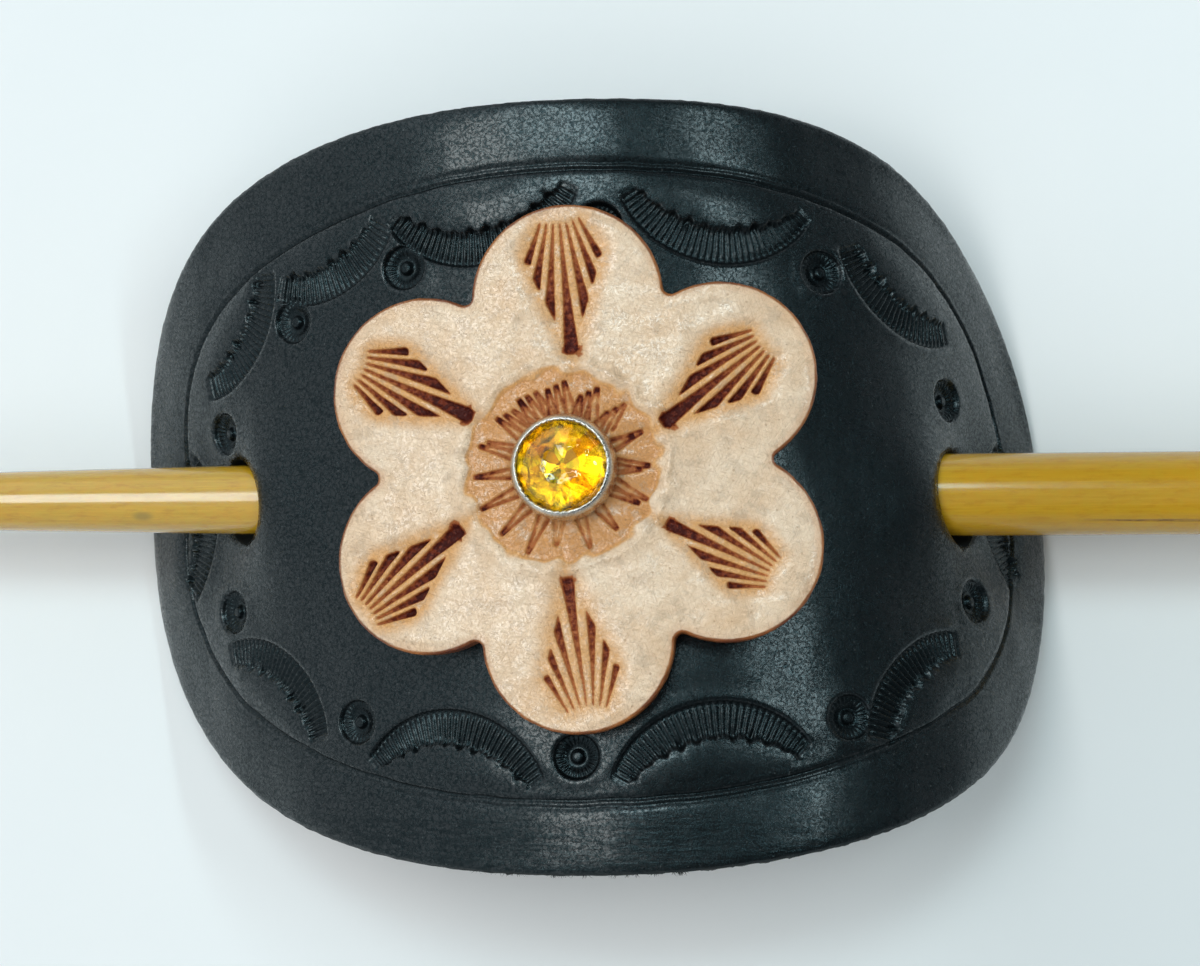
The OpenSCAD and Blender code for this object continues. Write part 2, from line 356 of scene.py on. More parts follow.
print("Creased line is", round(np.hypot(*np.diff(crease, axis=0).T).sum()), "mm round")

# %% [markdown]
# ## Tooling of the plate
# Damp leather keeps the mark of a steel stamp. Two stamps were struck round the plate:
# a half-moon with ribs, whose belly faces the flower, and a round seed between each two
# half-moons. Each mark is a short table row, and each stamp is one function that says how
# deep it presses the leather at a place. The deepest of all marks wins, as it does in
# real leather.

# %% Where each stamp was struck on the flat oval
# Each half-moon: middle of its chord, direction, half reach in degrees, lean to one end
MOONS = [
    ((-9.6, 27.3), 187.9, 55, 0.1), ((13.1, 27.2), 174.8, 54, -0.1),
    ((-25.5, 23.2), 204.9, 40, 0.2), ((-38.4, 16.6), 230.9, 42, 0.1),
    ((-48.2, -3.0), 270, 40, 0), ((-34.6, -20.4), 327.4, 46, 0.15),
    ((-12.4, -27.7), 354.2, 55, -0.05), ((12.6, -26.9), 8.8, 54, 0.1),
    ((33.4, -19.6), 45.7, 40, -0.1), ((49.6, -0.6), 90, 40, 0),
    ((33.0, 20.4), 151.7, 44, 0.2)]
SEEDS = [(-17.1, 21.2), (-30.1, 16.8), (-40.6, 6.2), (-40.4, -11.8), (-23.1, -22.6),
         (0.0, -25.8), (25.4, -22.1), (41.3, -10.1), (39.1, 9.9), (23.4, 20.8),
         (1.8, 24.5)]
MOON_R, MOON_HALF, MOON_FULL = 10.8, 1.5, math.radians(60)
RIB_STEP, LUMP_STEP = math.radians(3), 1.9
SEED_R, SEED_TEETH = 2.2, 24
# How deep each part of a mark goes, and how high the leather swells beside it
MOON_FLOOR, MOON_RIB, MOON_GROOVE, MOON_LUMP = 0.24, 0.34, 0.16, 0.50
OUTER_BANK, INNER_BANK, PILLOW = 0.10, 0.06, 0.20
SEED_WALL, SEED_CONE, SEED_TOOTH, SEED_BOSS, SEED_BANK = 0.50, 0.40, 0.15, 0.60, 0.09
CREASE_DEEP, SECOND_LINE, VALLEY = 0.30, 0.20, 0.10
print(len(MOONS), "half-moons and", len(SEEDS), "seeds")


# %% Soft steps and humps, which every stamp is made of
def smooth(x, low, high):
    """Goes from 0 to 1 between low and high, without a corner."""
    t = np.clip((x - low) / (high - low), 0, 1)
    return t * t * (3 - 2 * t)


def bell(x, width):
    """Is 1 at 0 and fades out on both sides."""
    return np.exp(-(x / width) ** 2)


def hump(a):
    """Goes from 0 to 1 and back once a turn."""
    return 0.5 + 0.5 * np.cos(a)


print("Half way up a step:", smooth(0.5, 0, 1), "and one width from a bell:", bell(1, 1).round(2))


# %% The half-moon stamp
def moon_axes(moon):
    """Centre of the half-moon's arc and its unit directions, belly first."""
    chord_mid, direction, reach = np.array(moon[0]), math.radians(moon[1]), moon[2]
    chord = np.array([math.cos(direction), math.sin(direction)])
    belly = np.array([-chord[1], chord[0]])
    drop = MOON_R * math.cos(math.radians(reach))
    return chord_mid - belly * drop, belly, chord


def moon_width(a):
    return 0.12 + MOON_HALF * np.sqrt(np.clip(np.cos(a / MOON_FULL * math.pi / 2), 0, 1))


def moon_press(p, moon):
    """Depth of one half-moon, and the soft swell of the leather round it."""
    centre, belly, chord = moon_axes(moon)
    reach, lean = math.radians(moon[2]), moon[3]
    d = p - centre
    a = np.arctan2(d @ chord, d @ belly)
    rho = np.hypot(*d.T) - MOON_R
    width = moon_width(a)
    ends = 1 - smooth(np.abs(a), reach - 0.10, reach + 0.02)
    edge_groove = bell(rho - width + 0.22, 0.25)
    ribs = hump(a / RIB_STEP * 2 * math.pi) ** 2 * (1 - 0.6 * edge_groove)
    comb = MOON_FLOOR + MOON_RIB * ribs
    uneven = 0.3 + 0.7 * hump(9 * a + 3 * centre[0])
    lump = hump(a * MOON_R * 2 * math.pi / LUMP_STEP + centre[1]) ** 2 * uneven
    outer = 1 - smooth(rho, width - 0.02, width + 0.22)
    inner = smooth(rho, -width - 0.10 - 0.6 * lump, -width + 0.25)
    dents = MOON_LUMP * bell(rho + width + 0.10, 0.40) * lump
    strength = 1 + lean * a / MOON_FULL * 2
    depth = (comb + MOON_GROOVE * edge_groove + dents) * outer * inner * ends * strength
    banks = OUTER_BANK * bell(rho - width - 0.55, 0.42) + INNER_BANK * bell(rho + width + 0.9, 0.5)
    pillow = PILLOW * bell(rho + width + 2.2, 1.5) * np.cos(np.clip(a * 1.5, -1.5, 1.5))
    far = np.hypot(*d.T) > 4
    return depth, (banks * ends + np.clip(pillow, 0, 1)) * far


moon_line = moon_axes(MOONS[0])[0] + np.outer(np.linspace(9, 13, 90), moon_axes(MOONS[0])[1])
print("Half-moon's deepest place:", moon_press(moon_line, MOONS[0])[0].max().round(2), "mm")


# %% The seed stamp
def seed_press(p, centre):
    """Depth of one seed: a steep wall, a toothed cone and a small boss in the middle."""
    d = p - np.asarray(centre)
    r, a = np.hypot(*d.T), np.arctan2(d[:, 1], d[:, 0])
    wall = 1 - smooth(r, SEED_R - 0.28, SEED_R + 0.05)
    cone = SEED_WALL + SEED_CONE * smooth(-r, -1.9, -0.85) \
        - SEED_TOOTH * hump(SEED_TEETH * a) * bell(r - 1.6, 0.40)
    boss = 1 - smooth(r, 0.42, 0.75)
    return cone * wall * (1 - SEED_BOSS * boss), SEED_BANK * bell(r - SEED_R - 0.35, 0.35)


seed_line = np.c_[np.linspace(0, SEED_R, 40), np.zeros(40)]
print("Seed's deepest place:", seed_press(seed_line, (0, 0))[0].max().round(2), "mm")

# %% [markdown]
# ## Unevenness of hand work
# A hide is never quite flat, and no two blows of a hammer are alike. `waves` adds a few
# sine waves of random directions, which is smooth and cheap. Its random numbers are
# seeded, so every run gives the same leather.

# %% Height of the tooled face
def waves(p, length, seed, count=14):
    """Smooth noise, mostly from -1 to 1, with features about that many mm long."""
    rng = np.random.default_rng(seed)
    angle, phase = rng.random(count) * 2 * math.pi, rng.random(count) * 2 * math.pi
    k = 2 * math.pi / (length * rng.uniform(1.2, 2.6, count))
    wave = np.sin((np.outer(p[:, 0], k * np.cos(angle)) +
                   np.outer(p[:, 1], k * np.sin(angle))) + phase)
    return wave.sum(1) / math.sqrt(count)


def plate_tooling(p):
    """Height of the face over the plain leather, and how hard it was pressed."""
    press, swell = np.zeros(len(p)), np.zeros(len(p))
    for moon in MOONS:
        depth, bank = moon_press(p, moon)
        press, swell = np.maximum(press, depth), np.maximum(swell, bank)
    for seed_at in SEEDS:
        depth, bank = seed_press(p, seed_at)
        press, swell = np.maximum(press, depth), np.maximum(swell, bank)
    d, a = off_crease(p), np.arctan2(p[:, 1], p[:, 0])
    d = d + 0.05 * waves(p, 3.0, 8)
    second = SECOND_LINE * np.abs(np.sin(a)) ** 3 * bell(d - 0.58, 0.14)
    lines = CREASE_DEEP * bell(d + 0.08, 0.17) + second
    valley = VALLEY * bell(d, 1.5)
    swell = swell * (1 - bell(d, 1.0))
    uneven = 0.12 * waves(p, 13, 7) + 0.035 * waves(p, 6, 3) + 0.012 * waves(p, 1.6, 5)
    height = swell * (press < 0.05) - press - lines - valley + uneven
    return height, np.clip(press / 0.5, 0, 1) + 0.7 * np.clip(lines / CREASE_DEEP, 0, 1)


print("Lowest tooling on the creased line:", plate_tooling(crease)[0].min().round(2), "mm")

# %% [markdown]
# ## The holes
# Each hole was punched square through the flap, and the stick later slanted through it,
# so its rim isn't a plain circle on either face. A walk outward from the hole's centre at
# each angle finds where the leather starts, for any height in its thickness. That gives
# the rim on the face, on the back and between.

# %% Rims of the holes and of the rivet's way
def stick_r(x):
    return np.interp(x, STICK[:, 0], STICK[:, 1]) / 2


print("Stick at its middle is", 2 * stick_r(0.0), "mm thick")


def hole_gap(p, h, hole):
    """How far a place is outside the hole's cut, negative inside it."""
    centre, d, toward = HOLES[hole]
    centre = np.array(centre)
    lip_lean = math.atan(LIP_LIFT * math.exp(0.5) / LIP_REACH) * toward
    tilt = rise_at(centre)[0] + lip_lean
    axis = np.array([-math.sin(tilt) * SKEW_C, -math.sin(tilt) * SKEW_S, math.cos(tilt)])
    place = bent(p, h)
    v = place - bent(centre, 0.0)
    punched = np.linalg.norm(v - np.outer(v @ axis, axis), axis=1) - d / 2
    way_r = (stick_r(-24.0) if hole == "left" else STICK[-1, 1] / 2) + STICK_ROOM
    way = np.hypot(place[:, 1], place[:, 2] - STICK_Z) - way_r
    return np.minimum(punched, way)


def rim(centre, h, gap, count):
    """Walks out from the centre at each angle until gap turns positive."""
    angle = np.linspace(0, 2 * math.pi, count, endpoint=False)
    near, far = np.full(count, 0.2), np.full(count, 11.0)
    for _ in range(22):
        r = (near + far) / 2
        within = gap(np.asarray(centre) + polar(r, angle), h) < 0
        near, far = np.where(within, r, near), np.where(within, far, r)
    return np.asarray(centre) + polar(near, angle)


def post_gap(p, h):
    return np.hypot(*(p - RIVET).T) - POST_D / 2 - SEAT_GAP


WAYS = [(HOLES["left"][0], lambda p, h: hole_gap(p, h, "left"), 112),
        (HOLES["right"][0], lambda p, h: hole_gap(p, h, "right"), 112),
        (tuple(RIVET), post_gap, 40)]
for centre, gap, count in WAYS:
    print("Hole at", centre, "is", np.ptp(rim(centre, 1.5, gap, count), 0).round(1), "mm")

# %% Points of the tooled face
def moon_patch(moon):
    """Four columns of points to a rib, so that each rib keeps its crest and its groove."""
    centre, belly, chord = moon_axes(moon)
    half = int(math.radians(moon[2]) / RIB_STEP * 4) + 3
    a = np.arange(-half, half + 1) * RIB_STEP / 4
    width = moon_width(a)
    rows = np.r_[np.linspace(-1.45, -1.0, 5), np.linspace(-0.8, 0.6, 6), 0.75, 0.86,
                 0.93, 1.0, 1.08, 1.2, 1.4]
    a, rho = np.repeat(a, len(rows)), np.outer(width, rows).ravel() + MOON_R
    return centre + rho[:, None] * (np.outer(np.cos(a), belly) + np.outer(np.sin(a), chord))


def seed_patch(centre):
    rings = np.r_[0.0, 0.2, 0.4, 0.5, 0.6, 0.7, 0.8, 0.95, 1.1, 1.3, 1.5, 1.7, 1.9, 2.0,
                  2.1, 2.2, 2.35, 2.6]
    counts = np.where(rings > 1.25, 4 * SEED_TEETH, np.where(rings > 0.55, 2 * SEED_TEETH, 16))
    return np.vstack([np.asarray(centre) + polar(r, np.arange(count) * 2 * math.pi / count)
                      for r, count in zip(rings, counts)])


EDGE_ROUND = 0.55
face_edge = plate_edge - outward(plate_edge) * EDGE_ROUND
face_rims = [(centre, rim(centre, PLATE["thick"] / 2, gap, count))
             for centre, gap, count in WAYS]
crease_rows = [crease + outward(crease) * d for d in
               (-1.4, -0.8, -0.46, -0.30, -0.16, -0.02, 0.14, 0.30, 0.46, 0.60, 0.78, 1.3)]
fine = np.vstack([moon_patch(m) for m in MOONS] + [seed_patch(s) for s in SEEDS])
fine = thin_out(fine, 0.09)
coarse = grid_points(58, 38, 0.72)
near_fine = set(map(tuple, np.round(fine / 0.6).astype(int)))
coarse = np.array([q for q in coarse.tolist()
                   if (round(q[0] / 0.6), round(q[1] / 0.6)) not in near_fine])
coarse = coarse[np.abs(off_crease(coarse)) > 1.5]
loose = np.vstack([fine] + crease_rows + [coarse])
keep = inside(loose, face_edge, margin=0.3)
for centre, loop in face_rims:
    keep &= ~inside(loose, loop, centre, margin=-0.25)
face_flat, face_tri = triangles(thin_out(loose[keep], 0.07), face_edge, face_rims)
print("Face:", len(face_flat), "points", len(face_tri), "triangles")

# %% [markdown]
# ## Leather in one skin
# The face, the rounded cut edge, the hole walls and the back are one closed skin. Each
# loop of points is sewn to the next with a strip of triangles. A Solidify modifier would
# be shorter, but it can't round the cut edge or slant the walls of the holes. The plate
# and the flower are both sewn by this one function. Its `place` is the function that
# bends the flat leather, and each of the two hands over its own.

# %% Sew a face, its cut edge, its holes and its back together
def strip(a, b):
    """Triangles between two loops of point numbers of the same length."""
    a2, b2 = np.roll(a, -1), np.roll(b, -1)
    return np.vstack([np.stack([a, b, b2], -1), np.stack([a, b2, a2], -1)])


def round_rows(half_t, r, steps=3):
    """Rows round a cut edge from the face to the back: (distance in, height)."""
    turn = np.linspace(0, math.pi / 2, steps + 1)[1:]
    top = [(r * (1 - math.sin(t)), half_t - r * (1 - math.cos(t))) for t in turn]
    wall = [(0.0, h) for h in np.linspace(half_t - r, r - half_t, 5)[1:-1]]
    return top + wall + [(i, -h) for i, h in top[::-1][1:]] + [(r, -half_t)]


def sew_leather(outline, face, back, ways, place, thick, edge_round, heights, fray):
    """Returns points, their flat places, their marks and triangles.

    face and back are (flat points, triangles), whose first points are the inset outline
    and then each way's rim. A mark is 0 on the face, 1 on a cut edge and 2 on the back.
    """
    half = thick / 2
    (face_flat, face_tri), (back_flat, back_tri) = face, back
    face_up, back_up = heights
    points, flats, marks = [place(face_flat, half + face_up)], [face_flat], [0 * face_up]
    tris, total = [face_tri], len(face_flat)
    last, normals = np.arange(len(outline)), outward(outline)

    def add(row_points, row_flat, mark, previous, flip):
        nonlocal total
        here = np.arange(total, total + len(row_points))
        points.append(row_points)
        flats.append(row_flat)
        marks.append(np.full(len(row_points), float(mark)))
        tris.append(strip(previous, here)[:, ::-1] if flip else strip(previous, here))
        total += len(row_points)
        return here

    for inset, h in round_rows(half, edge_round)[:-1]:
        rough = fray(outline, h)
        row = outline - normals * (inset - rough[:, None])
        mark = 1 - (inset / edge_round) ** 0.5 if h > 0 else 1
        last = add(place(row, h), row + normals * (half - h), mark, last, False)
    back_start = total
    points.append(place(back_flat, -half + back_up))
    flats.append(back_flat)
    marks.append(np.full(len(back_flat), 2.0))
    tris.append(back_tri[:, ::-1] + back_start)
    tris.append(strip(last, np.arange(back_start, back_start + len(outline))))
    total += len(back_flat)
    face_at, back_at = len(outline), back_start + len(outline)
    for centre, gap, count in ways:
        last = np.arange(face_at, face_at + count)
        for h in np.linspace(half, -half, 9)[1:-1]:
            row = rim(centre, h, gap, count)
            last = add(place(row, h), row, 1, last, True)
        tris.append(strip(last, np.arange(back_at, back_at + count))[:, ::-1])
        face_at, back_at = face_at + count, back_at + count
    return np.vstack(points), np.vstack(flats), np.concatenate(marks), np.vstack(tris)


# %% Sew the plate
# How far the face drops at a hole's rim, and how rough the suede of the back is
RIM_DROP, NAP = 0.30, 0.04
back_edge = plate_edge - outward(plate_edge) * EDGE_ROUND
back_rims = [(centre, rim(centre, -PLATE["thick"] / 2, gap, count))
             for centre, gap, count in WAYS]
loose = grid_points(58, 38, 1.2)
keep = inside(loose, back_edge, margin=0.8)
for centre, loop in back_rims:
    keep &= ~inside(loose, loop, centre, margin=-0.6)
back_flat, back_tri = triangles(loose[keep], back_edge, back_rims)

height, pressed = plate_tooling(face_flat)
from_edge = radius_of(face_edge)(np.arctan2(face_flat[:, 1], face_flat[:, 0])) \
    - np.hypot(*face_flat.T)
height *= smooth(from_edge, 0, 1.0)
for centre, loop in face_rims:
    d = face_flat - np.asarray(centre)
    away = np.hypot(*d.T) - radius_of(loop, centre)(np.arctan2(d[:, 1], d[:, 0]))
    height = height * (1 - bell(away, 0.9)) - RIM_DROP * bell(away, 0.32)
nap = NAP * waves(back_flat, 2.4, 21)
nap[:len(plate_edge) + sum(w[2] for w in WAYS)] = 0


def plate_fray(outline, h):
    """Cut fibres stand out of the lower half of the edge, most at the bottom."""
    low = smooth(-outline[:, 1], 20, 36) * smooth(-h, -0.4, 0.8)
    rough = 0.03 * waves(outline + 3 * h, 1.4, 11) + 0.02 * waves(outline - 7 * h, 0.6, 12)
    return rough * (1 + 3 * low)


plate_points, plate_flat, plate_marks, plate_tris = sew_leather(
    plate_edge, (face_flat, face_tri), (back_flat, back_tri), WAYS, bent,
    PLATE["thick"], EDGE_ROUND, (height, nap), plate_fray)
plate_points[:, 2] = np.maximum(plate_points[:, 2], 0)
plate = new_piece("tooled_plate", plate_points, plate_tris)
lay_flat(plate, plate_flat)
paint(plate, "side", plate_marks)
paint(plate, "pressed", np.r_[pressed, np.zeros(len(plate_points) - len(pressed))])
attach(plate, "barrette")
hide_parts("leather_plate")
print("Plate box in mm:", plate_points.min(0).round(2), plate_points.max(0).round(2))

# %% [markdown]
# ## Torn fibres
# A knife never leaves leather clean. Along the bottom it tore short fibres loose, which
# hang from the edge in tufts. Hair curves would do for a picture, but a model that is
# passed on needs a mesh. So each fibre is a small cone, curled a little, laid out on the
# flat oval and bent with it, which roots it in the edge wherever that goes.

# %% Loose fibres of the bottom edge
TUFT_SEED, TUFTS, FIBRE_ROWS = 17, 34, 5
TUFTS_FROM, TUFTS_TO = -17.0, 10.0
FIBRE_LONG, FIBRE_THICK = (0.22, 0.55), (0.03, 0.06)
draw = np.random.default_rng(TUFT_SEED)
bottom = np.flatnonzero((plate_edge[:, 1] < 0) & (plate_edge[:, 0] > TUFTS_FROM)
                        & (plate_edge[:, 0] < TUFTS_TO))
edge_out = outward(plate_edge)
fibre_points, fibre_flat, fibre_tris = [], [], []
ring_turn = np.arange(4) * math.pi / 2
for _ in range(TUFTS):
    root = draw.choice(bottom)
    out, side = edge_out[root], np.array([-edge_out[root][1], edge_out[root][0]])
    tuft_h = draw.uniform(-1.3, -0.2)
    for _ in range(draw.integers(3, 9)):
        long, thick = draw.uniform(*FIBRE_LONG), draw.uniform(*FIBRE_THICK)
        foot = plate_edge[root] + side * draw.normal(0, 0.16) - out * 0.12
        foot_h, sideways, drop, curl = tuft_h + draw.normal(0, 0.12), *draw.normal(0, 0.5, 3)
        for k, t in enumerate(np.linspace(0, 1, FIBRE_ROWS)):
            at = foot + (out + side * (sideways + curl * t)) * long * t
            r = thick * (1 - 0.85 * t)
            ring = at + np.outer(np.cos(ring_turn), side) * r
            fibre_points.append(bent(ring, foot_h - drop * long * t + r * np.sin(ring_turn)))
            fibre_flat.append(ring)
            here = (len(fibre_points) - 1) * 4 + np.arange(4)
            if k:
                fibre_tris.append(strip(here - 4, here)[:, ::-1])
            if k in (0, FIBRE_ROWS - 1):
                cap = np.array([here[[0, 1, 2]], here[[0, 2, 3]]])
                fibre_tris.append(cap if k else cap[:, ::-1])
fibres = new_piece("edge_fibres", np.vstack(fibre_points), np.vstack(fibre_tris))
lay_flat(fibres, np.vstack(fibre_flat))
paint(fibres, "side", np.ones(4 * len(fibre_points)))
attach(fibres, "barrette")
print(TUFTS, "tufts hang from the lower edge")
# %% [markdown]
# ## The flower
# The flower is stiffer leather that was left its own colour. Its outline is six round
# petals with a small round notch between each two. Each petal has a fan stamp, whose
# seven flutes widen towards the middle, and a ring of sixteen wedges stands round the
# stone. The stamp slipped on the upper wedges, so they show two or three strikes. A brown
# stain was rubbed in and wiped off, so it stays in the deep places.
# Sculpting such marks one by one would make each a little wrong. Here, as at the bench,
# a stamp is made once, as a function, and a short table says where it was struck.

# %% Outline of the flower
def flower_loop(arc_steps=44, notch_steps=8):
    gap = math.pi / PETALS
    r, end_r, notch_r = FLOWER["petal_r"], FLOWER["end_r"], FLOWER["notch_r"]
    notch_at = r * math.cos(gap) + math.sqrt((end_r + notch_r) ** 2 - (r * math.sin(gap)) ** 2)
    notch_half = math.atan2(r * math.sin(gap), notch_at - r * math.cos(gap))
    sweep = gap + notch_half
    loop = []
    for k in range(PETALS):
        mid = 2 * math.pi * k / PETALS + math.pi / 2 + FLOWER["turn"]
        arc = mid + sweep * np.linspace(-1, 1, arc_steps)
        loop.append(polar(r, np.array([mid])) + polar(end_r, arc))
        notch = mid + gap + math.pi + notch_half * np.linspace(1, -1, notch_steps)[1:-1]
        loop.append(polar(notch_at, np.array([mid + gap])) + polar(notch_r, notch))
    return np.vstack(loop)


flower_edge = even_steps(flower_loop(), 620)
middle = FLOWER["off"]
print("Flower is", np.ptp(flower_edge, 0).round(1), "mm across")

# %% Where the fans and wedges were struck
# Each fan: where its middle flute starts, where it ends, and how hard it was struck
FANS = [
    ((2.6, 23.1), (2.0, 10.7), 0.8), ((-17.9, 12.6), (-8.0, 6.2), 1.0),
    ((19.3, 8.8), (9.4, 2.8), 1.1), ((-20.4, -10.2), (-10.6, -4.0), 1.1),
    ((17.2, -12.3), (8.5, -6.5), 0.85), ((-1.1, -22.4), (-1.3, -10.2), 0.65)]
FLUTE_STEP, FLUTE_START = math.radians(7.6), 4.4
FLUTE_LONG = np.array([12.1, 9.2, 6.2, 4.1])
KITE_TIP, KITE_SLOPE = 16.6, 0.40
# Each wedge: direction in degrees, distance of its tip, darkness, number of strikes
WEDGES = [(176.5, 8.8, 0.9, 1), (197, 8.9, 0.85, 1), (217.6, 8.7, 0.8, 1), (238, 8.8, 0.75, 1),
          (255, 7.4, 0.3, 1), (279, 8.0, 0.5, 1), (301.5, 7.6, 0.6, 1), (325.5, 7.7, 0.9, 2),
          (350.4, 7.1, 1.0, 2), (17.6, 7.1, 1.0, 2), (45, 6.7, 0.85, 3), (70.4, 7.1, 1.0, 3),
          (94.8, 7.8, 0.95, 3), (115.8, 8.0, 0.95, 3), (135.3, 8.2, 0.9, 3), (156.6, 8.5, 0.8, 2)]
SLIP = np.array((0.80, 0.25))
WEDGE_FOOT = 4.2
DISC_AT, DISC_R = np.array((-0.35, 0.2)), 9.15
# How deep each part of a mark goes, and how high the leather swells beside it
FLUTE_START_DEEP, FLUTE_DEEPENS = 0.24, 0.40
FAN_DIP, FAN_LIP = 0.34, 0.62
DISC_DEEP, DISC_LIP = 0.22, 0.30
# Depth and stain of a wedge's body, its two legs and its head
WEDGE_DEEP, WEDGE_STAIN = (0.08, 0.20, 0.12), (0.16, 0.42, 0.48)
print(len(FANS), "fans and", len(WEDGES), "wedges")


# %% The fan stamp
def fan_axes(fan):
    """The stamp's own origin, where its flutes would meet, its direction and its size."""
    start, end = np.array(fan[0]), np.array(fan[1])
    axis = end - start
    size = np.hypot(*axis) / FLUTE_LONG[0]
    axis /= np.hypot(*axis)
    return start - axis * FLUTE_START * size, axis, size


def fan_press(p, fan):
    """Depth and stain of one fan, and the soft dip that the whole stamp left."""
    origin, axis, size = fan_axes(fan)
    strength = fan[2]
    d = (p - origin) / size
    r = np.hypot(*d.T)
    a = np.arctan2(d @ np.array([-axis[1], axis[0]]), d @ axis)
    flute = np.clip(np.round(a / FLUTE_STEP), -3, 3)
    off = np.abs(a - flute * FLUTE_STEP) * r
    t = np.clip((r - FLUTE_START) / FLUTE_LONG[np.abs(flute).astype(int)], 0, 1.1)
    kite = KITE_SLOPE * (KITE_TIP - r * np.cos(a)) - np.abs(r * np.sin(a))
    full = 0.76 * r * math.tan(FLUTE_STEP / 2)
    wide = (0.17 + np.maximum(full - 0.17, 0) * t ** 0.75) * min(1, 0.35 + 0.65 * strength)
    groove = 1 - smooth(off, wide - 0.18, wide + 0.08)
    stop = smooth(kite + 0.6 * (flute == 0), -0.12, 0.22) * (1 - smooth(t, 0.98, 1.03))
    run = smooth(r, FLUTE_START - 0.2, FLUTE_START + 0.4) * stop
    depth = groove * run * (FLUTE_START_DEEP + FLUTE_DEEPENS * t) * strength
    stain = groove * run * (0.46 + 0.54 * t ** 1.4) * min(1, 0.3 + 0.7 * strength)
    beside = (3.6 * FLUTE_STEP - np.abs(a)) * r
    within = smooth(kite, -2.4, 0.4) * smooth(r, FLUTE_START - 2.4, FLUTE_START + 1.0) \
        * smooth(beside, -2.0, 0.6)
    return depth, stain, within * min(1, 0.4 + 0.6 * strength)


fan_line = np.linspace(FANS[0][0], FANS[0][1], 60)
print("Fan's deepest place:", fan_press(fan_line, FANS[0])[0].max().round(2), "mm")


# %% The wedge stamp
def wedge_press(p, wedge):
    """Depth and stain of one wedge, struck again wherever the stamp had slipped."""
    direction, tip, dark, strikes = wedge
    a = math.radians(direction)
    depth, stain = np.zeros(len(p)), np.zeros(len(p))
    worn = 0.90 + 0.22 * waves(p, 1.1, round(direction))
    for strike in range(strikes):
        d = p - SLIP * strike
        out = d @ np.array([math.cos(a), math.sin(a)])
        side = np.abs(d @ np.array([-math.sin(a), math.cos(a)]))
        t = np.clip((tip - out) / (tip - WEDGE_FOOT), 0, 1)
        half = 0.18 + 0.52 * t
        body = (1 - smooth(side, half - 0.06, half + 0.10)) * smooth(tip - out, -0.05, 0.25) \
            * smooth(out, 3.6, 4.0)
        leg = bell(side - half + 0.10, 0.20) * body
        head = body * smooth(-t, -0.32, -0.08)
        share = (1 if strike == 0 else 0.8) * worn
        parts = np.stack([body, leg, head], -1)
        stain = np.maximum(stain, share * dark * (parts @ WEDGE_STAIN))
        depth = np.maximum(depth, share * (parts @ WEDGE_DEEP))
    return depth, stain


wedge_line = np.c_[np.linspace(-9, -4, 60), np.zeros(60)]
print("Wedge's deepest place:", wedge_press(wedge_line, WEDGES[0])[0].max().round(2), "mm")


# %% Height and stain of the flower's face
def flower_tooling(p):
    """Height over the plain leather, then the dark stain and the light tan of the dip."""
    press, stain, tan = np.zeros(len(p)), np.zeros(len(p)), np.zeros(len(p))
    for fan in FANS:
        depth, dark, within = fan_press(p, fan)
        press, stain, tan = (np.maximum(press, depth), np.maximum(stain, dark),
                             np.maximum(tan, within))
    fan_dip = FAN_DIP * tan - FAN_LIP * tan * (1 - tan) ** 3
    for wedge in WEDGES:
        depth, dark = wedge_press(p, wedge)
        press, stain = np.maximum(press, depth * 1.2), np.maximum(stain, dark)
    r, a = np.hypot(*(p - DISC_AT).T), np.arctan2(*(p - DISC_AT).T[::-1])
    ragged = DISC_R + 0.09 * np.cos(16 * a - 0.6) + 0.13 * np.sin(5 * a) \
        + 0.12 * np.cos(3 * a + 1) + 0.25 * waves(p, 1.4, 34)
    disc = 1 - smooth(r, ragged - 0.50, ragged + 0.20)
    swell = DISC_LIP * bell(r - ragged - 0.65, 0.5)
    uneven = 0.10 * waves(p, 9, 33) + 0.03 * waves(p, 5, 31) + 0.010 * waves(p, 1.2, 32)
    return swell - DISC_DEEP * disc - fan_dip - press + uneven, stain, np.maximum(0.6 * tan, disc)


def fan_patch(fan):
    origin, axis, size = fan_axes(fan)
    a = np.radians(np.arange(-28, 28.1, 0.5))
    r = np.arange(FLUTE_START - 0.3, KITE_TIP + 0.8, 0.17)
    aa, rr = np.meshgrid(a, r)
    use = KITE_SLOPE * (KITE_TIP + 1.0 - rr * np.cos(aa)) > np.abs(rr * np.sin(aa))
    return origin + polar(rr[use] * size, aa[use] + math.atan2(axis[1], axis[0]))


print("Lowest place 6 mm from the rivet:",
      flower_tooling(polar(6.0, np.linspace(0, 6.28, 400)))[0].min().round(2), "mm")

# %% Points of the flower's face
FLOWER_ROUND = 0.4
flower_inset = flower_edge - outward(flower_edge) * FLOWER_ROUND + middle
flower_way = ((0.0, 0.0), lambda p, h: np.hypot(*p.T) - POST_D / 2 - SEAT_GAP, 40)
post_rim = [((0.0, 0.0), rim((0.0, 0.0), 0, flower_way[1], 40))]
rings = [polar(r, np.arange(0, 2 * math.pi, 0.12 / r)) for r in np.arange(4.3, 9.9, 0.13)]
fine = thin_out(np.vstack([fan_patch(f) for f in FANS] + rings), 0.085)
fine_cells = set(map(tuple, np.round(fine / 0.5).astype(int)))
coarse = np.array([q for q in grid_points(27, 28, 0.55).tolist()
                   if (round(q[0] / 0.5), round(q[1] / 0.5)) not in fine_cells])
loose = np.vstack([fine, coarse])
keep = inside(loose, flower_inset, middle, 0.18) & (np.hypot(*loose.T) > 1.6)
flower_flat, flower_tri = triangles(loose[keep], flower_inset, post_rim, middle)
loose = grid_points(27, 28, 1.1)
keep = inside(loose, flower_inset, middle, 0.5) & (np.hypot(*loose.T) > 1.9)
under_flat, under_tri = triangles(loose[keep], flower_inset, post_rim, middle)
